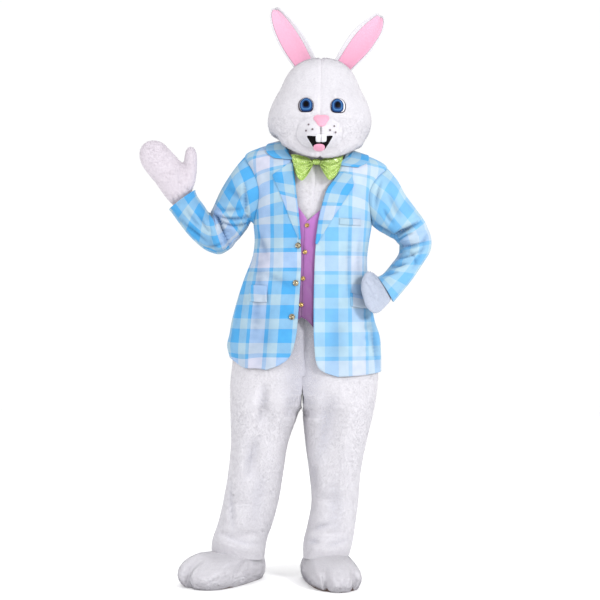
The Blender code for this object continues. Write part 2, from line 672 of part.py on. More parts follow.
# ---------------------------------------------------------------- sleeves
# Stations from the shoulder to the cuff: the outer and the inner edge as seen from the front,
# the depth of the middle and the half depth of the ring.
SUIT_SLEEVE_INSET = 0.0110
SLEEVE_ROWS = 14
SUIT_SLEEVE_ROWS = 9
SEAM_FRONT, SEAM_BACK, SLEEVE_AROUND = 1, 9, 12
SLEEVE_SET_OUT = 2 * SEAM_GAP
SEAM_SHARE = 0.8
SLEEVE_RIGHT = (
    # outer x, outer z, inner x, inner z, centre y, half depth
    (-0.3050, -0.010, -0.2420, -0.195, 0.000, 0.078),
    (-0.3480, -0.076, -0.2560, -0.222, 0.010, 0.074),
    (-0.3790, -0.140, -0.2860, -0.258, 0.020, 0.070),
    (-0.3880, -0.156, -0.3140, -0.288, 0.028, 0.069),
    (-0.3920, -0.158, -0.3530, -0.310, 0.030, 0.069),
    (-0.3980, -0.155, -0.4030, -0.297, 0.026, 0.068),
    (-0.4130, -0.132, -0.4560, -0.252, 0.012, 0.064),
    (-0.4320, -0.106, -0.4950, -0.203, -0.012, 0.058),
    (-0.4430, -0.085, -0.5280, -0.151, -0.040, 0.052),
)
SLEEVE_LEFT = (
    (0.2850, -0.045, 0.2080, -0.218, 0.000, 0.078),
    (0.3150, -0.095, 0.2330, -0.235, 0.012, 0.074),
    (0.3500, -0.140, 0.2650, -0.252, 0.024, 0.070),
    (0.3900, -0.195, 0.2880, -0.268, 0.036, 0.069),
    (0.4100, -0.245, 0.2950, -0.283, 0.042, 0.069),
    (0.4080, -0.295, 0.2890, -0.314, 0.036, 0.068),
    (0.3760, -0.348, 0.2620, -0.350, 0.018, 0.064),
    (0.3290, -0.414, 0.2350, -0.380, -0.010, 0.058),
    (0.2700, -0.482, 0.2130, -0.392, -0.036, 0.052),
)
SLEEVE_CREASES = (
    # station, turn in degrees from the inner edge, half length, half turn, depth
    (2.2, 60, 0.50, 60, -0.006), (3.4, 50, 0.35, 50, -0.008), (4.4, 120, 0.35, 50, -0.006),
    (5.6, 70, 0.40, 60, -0.006), (3.0, 270, 0.50, 60, -0.006), (4.6, 300, 0.40, 50, -0.006))


def sleeve_loop(form, base, tip, opening, side):
    """The armhole's edge, from the underarm over the front to the tip and down the back."""
    angle = RIGHT if side == "right" else LEFT
    turn = -1.0 if side == "right" else 1.0
    steps = [base + (tip - base) * step / ARMHOLE_STEPS for step in range(ARMHOLE_STEPS + 1)]
    front = [form.point(t, angle - turn * armhole(t, opening, base, tip)) for t in steps]
    rear = [form.point(t, angle + turn * armhole(t, opening, base, tip)) for t in steps]
    loop = np.array(front + rear[-2:0:-1])
    inward = unit(loop.mean(axis=0) - loop)
    outward = np.array((turn, 0.0, 0.0))
    return loop + inward * SEAM_GAP + outward * SLEEVE_SET_OUT


def sleeve_grid(loop, stations, inset, rows):
    """Rings from the armhole to the cuff, smooth along the arm."""
    count = len(loop)
    last = len(stations)
    rings = [loop]
    for outer_x, outer_z, inner_x, inner_z, centre_y, half_depth in stations:
        outer = np.array((outer_x, centre_y, outer_z))
        inner = np.array((inner_x, centre_y, inner_z))
        middle = (outer + inner) / 2
        reach = (outer - inner) / 2
        reach = reach * (1.0 - inset / np.linalg.norm(reach))
        turns = [2 * math.pi * step / count for step in range(count)]
        rings.append(np.array([middle - reach * math.cos(turn)
                               - np.array((0.0, (half_depth - inset) * math.sin(turn), 0.0))
                               for turn in turns]))
    rings = np.array(rings)
    levels = np.linspace(0.0, last, rows)
    grid = np.array([blend(rings, level) for level in levels])
    normals = grid_normals(grid, around=True)
    middle = grid.mean(axis=1, keepdims=True)
    facing = np.sign(np.sum(normals * (grid - middle), axis=(1, 2)))
    normals = normals * facing[:, None, None]
    for row, level in enumerate(levels):
        for column in range(count):
            turn = 360.0 * column / count
            push = 0.0
            for station, centre, long, half_turn, depth in SLEEVE_CREASES:
                apart = (turn - centre + 180.0) % 360.0 - 180.0
                push += depth * math.exp(-((level - station) / long) ** 2 - (apart / half_turn) ** 2)
            grid[row, column] += normals[row, column] * push
    return grid, normals


def ring_part(grid, normals, start, stop):
    """Columns start to stop of a closed grid, with the seam gap taken off both edges."""
    count = grid.shape[1]
    picked = [column % count for column in range(start, stop + 1)]
    part = grid[:, picked].copy()
    part[:, 0] += unit(part[:, 1] - part[:, 0]) * SEAM_GAP * SEAM_SHARE
    part[:, -1] += unit(part[:, -2] - part[:, -1]) * SEAM_GAP * SEAM_SHARE
    return part, normals[:, picked]


for side, stations, half in (("right", SLEEVE_RIGHT, suit_right), ("left", SLEEVE_LEFT, suit_left)):
    loop = sleeve_loop(body, UNDERARM, TIP, JACKET_OPENING, side)
    grid, lean = sleeve_grid(loop, stations, 0.0, SLEEVE_ROWS)
    part, part_lean = ring_part(grid, lean, SEAM_FRONT, SEAM_BACK)
    wall(f"sleeve_upper_{side}", part, part_lean, JACKET_WALL, PLAID_BLUE)
    part, part_lean = ring_part(grid, lean, SEAM_BACK, SEAM_FRONT + SLEEVE_AROUND)
    wall(f"sleeve_under_{side}", part, part_lean, JACKET_WALL, PLAID_BLUE)
    loop = sleeve_loop(half, SUIT_UNDERARM, SUIT_TIP, SUIT_OPENING, side)
    grid, lean = sleeve_grid(loop, stations, SUIT_SLEEVE_INSET, SUIT_SLEEVE_ROWS)
    wall(f"suit_sleeve_{side}", grid, lean, SUIT_WALL, WHITE_PLUSH, around=True)

# ---------------------------------------------------------------- head
HEAD = (
    # side_z front_z  back_z  tilt    cx      cy     half_w  front   back   cap
    (0.1150, 0.070, 0.108, -0.008, 0.005, 0.000, 0.1045, 0.100, 0.096, 0.0),
    (0.1000, 0.046, 0.094, -0.008, 0.005, -0.003, 0.1360, 0.136, 0.128, 0.0),
    (0.1080, 0.056, 0.102, -0.006, 0.005, -0.004, 0.1600, 0.156, 0.146, 0.0),
    (0.1260, 0.090, 0.125, -0.002, 0.005, -0.005, 0.1770, 0.168, 0.156, 0.0),
    (0.1600, 0.150, 0.160, 0.000, 0.0055, -0.005, 0.1855, 0.174, 0.162, 0.0),
    (0.1950, 0.193, 0.195, 0.000, 0.006, -0.004, 0.1820, 0.172, 0.162, 0.0),
    (0.2370, 0.237, 0.237, 0.000, 0.007, -0.003, 0.1670, 0.160, 0.156, 0.0),
    (0.2810, 0.281, 0.281, 0.000, 0.008, 0.000, 0.1440, 0.141, 0.144, 0.0),
    (0.3200, 0.320, 0.320, 0.000, 0.009, 0.002, 0.1270, 0.122, 0.128, 0.0),
    (0.3520, 0.352, 0.352, 0.000, 0.010, 0.003, 0.1060, 0.103, 0.108, 0.0),
    (0.3770, 0.377, 0.377, 0.000, 0.011, 0.004, 0.0740, 0.074, 0.078, 0.0),
    (0.3895, 0.3895, 0.3895, 0.000, 0.011, 0.004, 0.0360, 0.036, 0.038, 0.0),
    (0.3925, 0.3925, 0.3925, 0.000, 0.011, 0.004, 0.0006, 0.0006, 0.0006, 0.0),
)
head = Form(HEAD)
head_levels = spaced((0, 3, 5), (3, 11, 8), (11, 12, 1))
panel("head_right", head, head_levels, lambda t: FRONT, lambda t: BACK - 2 * math.pi, 11,
      HEAD_WALL, WHITE_PLUSH)
panel("head_left", head, head_levels, lambda t: FRONT, lambda t: BACK, 11, HEAD_WALL, WHITE_PLUSH)

MUZZLE_CENTRE = (0.004, 0.107)
MUZZLE_HALF = (0.079, 0.058)
MUZZLE_EDGE = 0.0020
MUZZLE_DOME = 0.030


def muzzle_height(x, z):
    """How far the muzzle's face stands off the head."""
    across = (x - MUZZLE_CENTRE[0]) / MUZZLE_HALF[0]
    upward = (z - MUZZLE_CENTRE[1]) / MUZZLE_HALF[1]
    return MUZZLE_EDGE + MUZZLE_DOME * max(0.0, 1.0 - across ** 2 - upward ** 2)


def on_muzzle(extra):
    return lambda x, z: 2 * LAID_GAP + muzzle_height(x, z) + extra


disc("muzzle", head, MUZZLE_CENTRE, ellipse(*MUZZLE_HALF, 0.92), 2 * LAID_GAP, MUZZLE_EDGE, MUZZLE_DOME,
     WHITE_PLUSH, rings=4, spokes=20)


MOUTH_GAP = 0.0021
MOUTH_WALL = 0.0020


def mouth_outline(turn):
    """An open laughing mouth: raised corners and a round lower lip."""
    cosine = math.cos(turn)
    sine = math.sin(turn)
    corner = 0.010 * abs(cosine) ** 3
    return 0.044 * cosine, (0.020 if sine > 0 else 0.030) * sine + corner


disc("mouth", head, (0.0055, 0.080), mouth_outline, on_muzzle(MOUTH_GAP), MOUTH_WALL, 0.0, MOUTH_BLACK,
     rings=3, spokes=16)
MOUTH_TOP = MOUTH_GAP + MOUTH_WALL
disc("teeth", head, (0.0060, 0.0915), ellipse(0.0200, 0.0110, 0.45),
     on_muzzle(MOUTH_TOP + 3 * SEAM_GAP), 0.0050, 0.0, TOOTH_WHITE, rings=1, spokes=16)
disc("tongue", head, (0.0030, 0.0610), ellipse(0.0200, 0.0105, 0.8),
     on_muzzle(MOUTH_TOP + 2 * SEAM_GAP), 0.0020, 0.0040, NOSE_PINK, rings=2, spokes=12)


def nose_outline(turn):
    """A rounded triangle, flat above and pointed below."""
    reach = 0.0215 + 0.0035 * math.cos(3 * (turn + math.pi / 2))
    return 1.12 * reach * math.cos(turn), 0.95 * reach * math.sin(turn)


disc("nose", head, (0.0095, 0.1500), nose_outline, on_muzzle(0.0012), 0.0030, 0.0080, NOSE_PINK,
     rings=3, spokes=15)

EYE_RADIUS = 0.0265
EYE_EDGE = 0.0030


def on_eye(x, z, base, dome):
    """Lifts that follow the dome of the eye under them."""
    return lambda a, b: base + dome * (1 - ((a - x) ** 2 + (b - z) ** 2) / EYE_RADIUS ** 2)


for side, x, z, iris_x in (("right", -0.0425, 0.2070, 0.0010), ("left", 0.0665, 0.2045, -0.0035)):
    disc(f"eye_rim_{side}", head, (x, z), ellipse(EYE_RADIUS, EYE_RADIUS, 0.9), SEAM_GAP, EYE_EDGE,
         0.0030, EYE_DARK, rings=2, spokes=14)
    disc(f"eye_white_{side}", head, (x, z), ellipse(0.0225, 0.0230, 0.9),
         on_eye(x, z, EYE_EDGE + 4 * SEAM_GAP, 0.0030), 0.0020, 0.0010, EYE_WHITE, rings=2, spokes=14)
    disc(f"iris_{side}", head, (x + iris_x, z), ellipse(0.0180, 0.0195, 0.95),
         on_eye(x, z, 2 * EYE_EDGE + 6 * SEAM_GAP, 0.0034), 0.0015, 0.0020, EYE_BLUE, rings=2,
         spokes=14)

# Ears, as rows of left and right edge from the base to the tip. The bases are cut off where
# they meet the crown.
EAR_RIGHT = along((
    # left x, left z, right x, right z
    (-0.062, 0.320, 0.006, 0.345), (-0.082, 0.362, -0.010, 0.392), (-0.108, 0.399, -0.022, 0.421),
    (-0.133, 0.439, -0.038, 0.454), (-0.153, 0.482, -0.062, 0.492), (-0.166, 0.522, -0.088, 0.526),
    (-0.170, 0.556, -0.119, 0.558), (-0.163, 0.576, -0.143, 0.577)))
EAR_LEFT = along((
    (0.028, 0.345, 0.100, 0.312), (0.060, 0.386, 0.114, 0.348), (0.080, 0.421, 0.145, 0.380),
    (0.100, 0.455, 0.181, 0.416), (0.127, 0.492, 0.210, 0.455), (0.159, 0.523, 0.231, 0.493),
    (0.195, 0.548, 0.238, 0.529), (0.214, 0.556, 0.233, 0.546)))
EAR_Y = 0.020
EAR_CUP = 0.014
EAR_EDGE = 0.005
LINING_WALL = 0.0025


EAR_SHARES = (0.0, 0.12, 0.26, 0.40, 0.54, 0.68, 0.80, 0.90, 0.965, 1.0)


def ear_grid(rows, inner, outer):
    """Cupped leaf; its second and last but one columns are the lining's edges."""
    places = [0.0, *np.linspace(inner, outer, 5), 1.0]
    grid = []
    for share in EAR_SHARES:
        left_x, left_z, right_x, right_z = rows(share)
        a = np.array((left_x, EAR_Y, left_z))
        b = np.array((right_x, EAR_Y, right_z))
        grid.append([a + (b - a) * place
                     + np.array((0.0, EAR_CUP * (1 - (2 * place - 1) ** 2), 0.0)) for place in places])
    return np.array(grid), np.array(places)


CROWN_SPOKES = 56
crown_cutter = None
for side, rows, inner, outer in (("right", EAR_RIGHT, 0.07, 0.88), ("left", EAR_LEFT, 0.12, 0.93)):
    grid, places = ear_grid(rows, inner, outer)
    forward = np.zeros_like(grid)
    forward[..., 1] = -1.0
    thick = (EAR_EDGE + EAR_WALL * (1.0 - (2 * places - 1) ** 2))[None, :, None]
    ear = skin(f"ear_{side}", grid, grid - forward * thick, WHITE_PLUSH)
    laid = grid[:-1, 1:-1]
    lining = wall(f"ear_lining_{side}", laid, forward[:-1, 1:-1], LINING_WALL, PINK_PLUSH,
                  lift=LINING_WALL + LAID_GAP)
    for piece in (ear, lining):
        if crown_cutter is None:
            turns = [2 * math.pi * step / CROWN_SPOKES for step in range(CROWN_SPOKES)]
            rings = [[head.plain(level, turn) + head.plain_normal(level, turn) * 2 * SEAM_GAP
                      for turn in turns] for level in spaced((5, 11, 12), (11, 12, 1))]
            crown_cutter = capped("crown_cutter", np.array(rings), CUTTERS, WHITE_PLUSH)
            crown_cutter.hide_render = True
            crown_cutter.display_type = "WIRE"
        cut = piece.modifiers.new("seat_on_crown", "BOOLEAN")
        cut.operation = "DIFFERENCE"
        cut.solver = "EXACT"
        cut.object = crown_cutter

# ---------------------------------------------------------------- bow tie
KNOT = (-0.007, 0.003)
# Each wing's edge heights from the knot outward: x, bottom z, top z.
WING_RIGHT = along(((-0.020, -0.007, 0.012), (-0.038, -0.034, 0.024), (-0.060, -0.052, 0.030),
                    (-0.084, -0.046, 0.034)))
WING_LEFT = along(((0.006, -0.007, 0.012), (0.026, -0.032, 0.022), (0.050, -0.049, 0.030),
                   (0.077, -0.030, 0.034)))
WING_DEPTH = 0.009


WING_LIFT = 0.0215
WING_STEPS = 10
WING_BULGE = 0.007
WING_PLEAT = 0.0022
SATIN_WALL = 0.0015
KNOT_HALF = (0.0125, 0.0130, 0.0165)
KNOT_LIFT = 0.0200
KNOT_SPOKES = 12


def chest(x, z, lift):
    """A spot this far in front of the suit's chest."""
    return suit_right.front(x, z) + np.array((0.0, -lift, 0.0))


for side, rows in (("right", WING_RIGHT), ("left", WING_LEFT)):
    grid = []
    for step in range(WING_STEPS + 1):
        turn = math.pi * step / WING_STEPS
        share = math.sin(turn)
        x, low, high = rows(share)
        depth = WING_DEPTH * math.cos(turn) * (0.35 + share ** 0.5)
        line = []
        for column in range(5):
            place = column / 4
            pleat = WING_PLEAT * math.cos(4 * math.pi * place) * (1 - share)
            lift = WING_LIFT + WING_BULGE * share + depth + pleat
            line.append(chest(x, low + (high - low) * place, lift))
        grid.append(line)
    grid = np.array(grid)
    lean = grid_normals(grid)
    if np.mean(lean[:4, :, 1]) > 0:
        lean = -lean
    wall(f"bow_{side}", grid, lean, SATIN_WALL, LIME_SEQUIN)

knot_rings = []
for share in np.linspace(-1.0, 1.0, 7):
    size = 0.98 * math.sqrt(1 - share ** 4) + 0.02
    centre = chest(KNOT[0] + KNOT_HALF[0] * share, KNOT[1], KNOT_LIFT)
    turns = [2 * math.pi * step / KNOT_SPOKES for step in range(KNOT_SPOKES)]
    knot_rings.append([centre + size * np.array((0.0, KNOT_HALF[1] * math.cos(turn),
                                                 KNOT_HALF[2] * math.sin(turn))) for turn in turns])
capped("bow_knot", np.array(knot_rings), COSTUME, LIME_SEQUIN)


# ---------------------------------------------------------------- mitts
def lobe(stations, count, rows, inset=0.0, low=0.0, high=1.0):
    """Rings of a lobe from (a_x a_z b_x b_z centre_y half_depth) stations, shrunk by inset."""
    values = np.array(stations, dtype=float)
    rings = []
    for step in range(rows):
        share = low + (high - low) * step / (rows - 1)
        a_x, a_z, b_x, b_z, centre_y, half_depth = blend(values, share * (len(values) - 1))
        a = np.array((a_x, centre_y, a_z))
        b = np.array((b_x, centre_y, b_z))
        middle = (a + b) / 2
        reach = (b - a) / 2
        length = np.linalg.norm(reach)
        reach = reach * max(0.02, 1 - inset / length)
        deep = max(0.001, half_depth - inset)
        rings.append([middle + reach * math.cos(2 * math.pi * turn / count)
                      + np.array((0.0, deep * math.sin(2 * math.pi * turn / count), 0.0))
                      for turn in range(count)])
    return np.array(rings)


def hollow(name, outer, inner, add_outer=(), add_inner=()):
    """outer and its added lobes, less the inner lobes: a wall open at the wrist."""
    made = capped(name, outer, COSTUME, WHITE_PLUSH)
    steps = [("UNION", rings) for rings in add_outer]
    steps += [("DIFFERENCE", inner)] + [("DIFFERENCE", rings) for rings in add_inner]
    for number, (operation, rings) in enumerate(steps):
        tool = capped(f"{name}_tool_{number}", rings, CUTTERS, WHITE_PLUSH)
        tool.hide_render = True
        tool.display_type = "WIRE"
        step = made.modifiers.new(f"step_{number}", "BOOLEAN")
        step.operation = operation
        step.solver = "EXACT"
        step.object = tool
    return made


MITT_RIGHT = (
    # edge a x, z, edge b x, z, centre y, half depth
    (-0.5330, -0.122, -0.4450, -0.075, -0.052, 0.0400),
    (-0.5560, -0.092, -0.4520, -0.045, -0.064, 0.0400), (-0.5800, -0.057, -0.4650, -0.015, -0.072, 0.0400),
    (-0.6050, -0.027, -0.4860, 0.012, -0.078, 0.0390), (-0.6270, 0.006, -0.5080, 0.036, -0.082, 0.0370),
    (-0.6340, 0.044, -0.5300, 0.060, -0.084, 0.0320), (-0.6220, 0.073, -0.5500, 0.079, -0.085, 0.0230),
    (-0.6000, 0.087, -0.5720, 0.088, -0.085, 0.0090))
THUMB_RIGHT = (
    (-0.5100, -0.070, -0.4640, -0.095, -0.066, 0.0200), (-0.4900, -0.030, -0.4420, -0.072, -0.070, 0.0260),
    (-0.4780, 0.006, -0.4330, -0.036, -0.074, 0.0250), (-0.4740, 0.034, -0.4300, 0.004, -0.077, 0.0230),
    (-0.4690, 0.055, -0.4310, 0.042, -0.079, 0.0190), (-0.4590, 0.067, -0.4400, 0.064, -0.080, 0.0090))
MITT_LEFT = (
    (0.2060, -0.388, 0.2600, -0.482, -0.056, 0.0400),
    (0.1920, -0.382, 0.2500, -0.497, -0.082, 0.0400), (0.1790, -0.384, 0.2260, -0.512, -0.112, 0.0340),
    (0.1660, -0.396, 0.2000, -0.518, -0.134, 0.0270), (0.1540, -0.418, 0.1790, -0.512, -0.146, 0.0200),
    (0.1490, -0.444, 0.1610, -0.494, -0.150, 0.0100))
WRIST_INSET = SUIT_SLEEVE_INSET + SUIT_WALL + 0.0030
WRIST_REACH = 0.18
MITT_SPOKES = 12
THUMB_SPOKES = 8
THUMB_ROWS = 6


def wrist(stations, level):
    """A mitt station that fits inside the suit's sleeve, at this level of the arm."""
    outer_x, outer_z, inner_x, inner_z, centre_y, half_depth = blend(np.array(stations), level)
    reach = np.array((outer_x - inner_x, outer_z - inner_z)) / 2
    middle = np.array((outer_x + inner_x, outer_z + inner_z)) / 2
    reach = reach * (1 - WRIST_INSET / np.linalg.norm(reach))
    a = middle - reach
    b = middle + reach
    return (*a, *b, centre_y, half_depth - WRIST_INSET)


for side, stations, thumb, arm in (("right", MITT_RIGHT, THUMB_RIGHT, SLEEVE_RIGHT),
                                   ("left", MITT_LEFT, None, SLEEVE_LEFT)):
    cuff = len(arm) - 1
    end = np.array(wrist(arm, cuff))
    before = np.array(wrist(arm, cuff - WRIST_REACH))
    stations = (tuple(before), tuple(end), tuple(end + (end - before) * 0.4), *stations)
    outer = lobe(stations, MITT_SPOKES, 11)
    inner = lobe(stations, MITT_SPOKES, 10, MITT_WALL, high=0.985)
    inner[0] += (inner[0] - inner[1]) * 0.6
    extra = () if thumb is None else (lobe(thumb, THUMB_SPOKES, THUMB_ROWS),)
    extra_inner = () if thumb is None else (
        lobe(thumb, THUMB_SPOKES, THUMB_ROWS, MITT_WALL, low=0.04, high=0.985),)
    hollow(f"mitt_{side}", outer, inner, extra, extra_inner)

# ---------------------------------------------------------------- feet
# Rings from the sole up to the ankle, round an axis from heel to toe.
FOOT = (
    # height, heel, toe, half width at heel and toe, depth of the toe dips, rise of the toes
    (0.0000, 0.078, 0.262, 0.072, 0.098, 0.012, 0.000),
    (0.0220, 0.088, 0.276, 0.082, 0.108, 0.014, 0.004),
    (0.0440, 0.090, 0.276, 0.084, 0.107, 0.013, 0.012),
    (0.0560, 0.089, 0.258, 0.083, 0.100, 0.009, 0.026),
    (0.0620, 0.087, 0.200, 0.082, 0.090, 0.003, 0.026),
    (0.0640, 0.074, 0.084, 0.070, 0.072, 0.000, 0.000),
)
TOE_DIPS = (math.radians(-24.0), math.radians(22.0))


def foot_ring(row, turns, ankle, heading, wide):
    """One ring: a rounded heel, a wider rounded toe with dips between its lobes."""
    height, heel, toe, heel_half, toe_half, dip, rise = row
    ahead = np.array((math.sin(heading), -math.cos(heading), 0.0))
    aside = np.array((math.cos(heading), math.sin(heading), 0.0))
    points = []
    for turn in turns:
        forward = math.cos(turn)
        share = (forward + 1) / 2
        half = heel_half + (toe_half - heel_half) * share
        notch = sum(math.exp(-((turn - spot) / TOE_DIP_WIDTH) ** 2) for spot in TOE_DIPS)
        reach = (toe if forward > 0 else heel) - dip * notch
        along_it = math.copysign(abs(forward) ** FOOT_ROUNDING, forward) * reach
        sideways = math.copysign(abs(math.sin(turn)) ** FOOT_ROUNDING, math.sin(turn)) * half * wide
        lift = height + rise * max(0.0, forward) ** 2
        points.append(np.array((ankle[0], ankle[1], FLOOR_Z + SOLE_THICKNESS + SEAM_GAP + lift))
                      + ahead * along_it + aside * sideways)
    return points


def ankle_ring(form, level, turns, heading, inset):
    """The ankle opening, inside the leg's hem."""
    points = []
    for turn in turns:
        angle = FRONT + heading + turn
        points.append(form.point(level, angle) - form.normal(level, angle) * inset)
    return points


ANKLE_EASE = 0.0032
FOOT_TURNS = [math.pi * step / 10 for step in range(-10, 10)]
TOE_DIP_WIDTH = 0.13
FOOT_ROUNDING = 0.80
SOLE_SPREAD = 1.01
ANKLE_LEVELS = (0.50, 1.00)
for side, form, ankle, heading, wide in (
        ("right", suit_right, (-0.2880, 0.012), math.radians(-28.0), 1.0),
        ("left", suit_left, (0.0310, -0.008), math.radians(10.0), 0.95)):
    rings = [foot_ring(row, FOOT_TURNS, ankle, heading, wide) for row in FOOT]
    for level in ANKLE_LEVELS:
        rings.append(ankle_ring(form, level, FOOT_TURNS, heading, SUIT_WALL + ANKLE_EASE))
    grid = np.array(rings)
    lean = grid_normals(grid, around=True)
    middle = grid.mean(axis=(0, 1))
    if np.sum(lean * (grid - middle)) < 0:
        lean = -lean
    lean[0, :, 2] = 0.0
    lean = unit(lean)
    wall(f"foot_{side}", grid, lean, FOOT_WALL, WHITE_PLUSH, around=True)
    edge = np.array(rings[0])
    centre = edge.mean(axis=0)
    spread = centre + (edge - centre) * SOLE_SPREAD
    spread[:, 2] = FLOOR_Z + SOLE_THICKNESS
    low = spread.copy()
    low[:, 2] = FLOOR_Z
    capped(f"sole_{side}", np.array([low, spread]), COSTUME, SOLE_BROWN)
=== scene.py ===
"""Rabbit mascot costume: plush suit, vest, plaid jacket, bow tie, head, mitts and feet, worn and hollow.

Metres, +Z up, the costume faces -Y. Right and left are the wearer's own, so the right side is at -X.
Tables marked mm are in millimetres.
"""
import json
import math

import bpy
import numpy as np
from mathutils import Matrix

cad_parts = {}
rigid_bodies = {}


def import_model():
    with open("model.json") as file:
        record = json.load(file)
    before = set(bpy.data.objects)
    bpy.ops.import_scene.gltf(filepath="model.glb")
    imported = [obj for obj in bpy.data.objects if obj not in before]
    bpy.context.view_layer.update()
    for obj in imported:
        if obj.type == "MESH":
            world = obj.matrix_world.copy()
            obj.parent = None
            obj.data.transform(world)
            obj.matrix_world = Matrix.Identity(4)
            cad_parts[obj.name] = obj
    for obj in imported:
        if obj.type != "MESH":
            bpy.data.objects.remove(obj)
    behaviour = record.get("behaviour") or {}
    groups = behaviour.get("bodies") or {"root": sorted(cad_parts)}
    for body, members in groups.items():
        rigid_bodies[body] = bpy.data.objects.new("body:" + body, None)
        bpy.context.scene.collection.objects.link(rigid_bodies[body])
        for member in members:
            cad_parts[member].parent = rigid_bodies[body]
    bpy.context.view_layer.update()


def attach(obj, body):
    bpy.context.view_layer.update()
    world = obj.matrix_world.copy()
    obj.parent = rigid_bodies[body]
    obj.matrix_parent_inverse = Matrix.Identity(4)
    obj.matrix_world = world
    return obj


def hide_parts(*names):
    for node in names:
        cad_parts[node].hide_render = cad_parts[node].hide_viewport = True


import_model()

# ----------------------------------------
# Fur suit: a one-piece suit of white short-pile plush with seams at the centre front, the centre
# back, the sides and the inseams. It hangs in long soft folds and its neck goes up into the head.
FRONT, BACK, RIGHT, LEFT = math.radians(-90.0), math.radians(90.0), math.radians(180.0), 0.0
SQUARENESS = 2.3
SEAM_GAP = 0.0003
LAID_GAP = 0.0007
# Every layer of the body is cut on one form, a stack of rings. Each row is a ring, in mm: heights of
# the side, front and back, tilt, centre x and y, half width, depth of the front and back, how far an
# inner layer drops with its inset, in thousandths, and the vest's and suit's insets.
BODY = np.array((
    (-705, -738, -716, -25, -45, 5, 273, 170, 165, 0, 5.5, 11),
    (-650, -665, -655, -12, -50, 5, 277, 168, 163, 0, 5.5, 12),
    (-600, -605, -602, -5, -48, 4, 270, 163, 158, 0, 6.5, 15),
    (-545, -545, -545, 0, -53, 3, 256, 157, 150, 0, 8, 18),
    (-470, -470, -470, 0, -49, 2, 240, 150, 141, 0, 9.5, 20),
    (-400, -400, -400, 0, -43, 1, 223, 143, 133, 0, 10, 22.2),
    (-325, -325, -325, 0, -30, 0, 207, 138, 130, 0, 10.5, 22),
    (-265, -265, -265, 0, -22, 0, 206, 137, 130, 0, 10, 22.2),
    (-205, -205, -205, 0, -19, 0, 213, 137, 131, 0, 9.2, 23.6),
    (-145, -145, -145, 0, -17, 0, 220, 136, 130, 0, 8.8, 19.5),
    (-85, -88, -85, -4, -14, 0, 231, 132, 127, 0, 7.8, 17.5),
    (-30, -38, -30, -12, -11, 0, 244, 124, 120, 100, 6.8, 16),
    (22, 0, 12, -21, -7, 0, 256, 112, 110, 600, 5.8, 15),
    (52.5, 24, 40, -20, -3, 0, 205, 101, 104, 1000, 5, 14),
    (66.5, 42, 60, -20, 1, 0, 158, 92, 96, 1000, 4.6, 12.5),
    (76, 55, 78, -19, 5, 0, 117, 84, 89, 1000, 4.4, 11.2))) / 1000
HEM, UNDERARM, TIP, NECK = 0, 8, 12, 15
FORM_SIZES, CAP = slice(0, 10), 9
# How often each search for a spot on the form closes in on it.
EDGE_TRIES, LEVEL_TRIES, FRONT_TRIES = 14, 22, 5


def blend(values, level):
    """Smooth rows between the rows of a table (Catmull-Rom), for an array of levels."""
    last = len(values) - 1
    level = np.clip(level, 0.0, last)
    low = np.minimum(level.astype(int), last - 1)
    part = (level - low)[(...,) + (None,) * (values.ndim - 1)]
    start, stop = values[low], values[low + 1]
    slope_a = (stop - values[np.maximum(low - 1, 0)]) / 2
    slope_b = (values[np.minimum(low + 2, last)] - start) / 2
    cubic = 2 * start - 2 * stop + slope_a + slope_b
    square = -3 * start + 3 * stop - 2 * slope_a - slope_b
    return ((cubic * part + square) * part + slope_a) * part + start


def unit(vectors):
    return vectors / np.maximum(np.linalg.norm(vectors, axis=-1, keepdims=True), 1e-9)


def power(value, exponent):
    return np.sign(value) * np.abs(value) ** exponent


def hill(value, centre, width):
    """1 at the centre, falling away softly to each side of it."""
    return np.exp(-((value - centre) / width) ** 2)


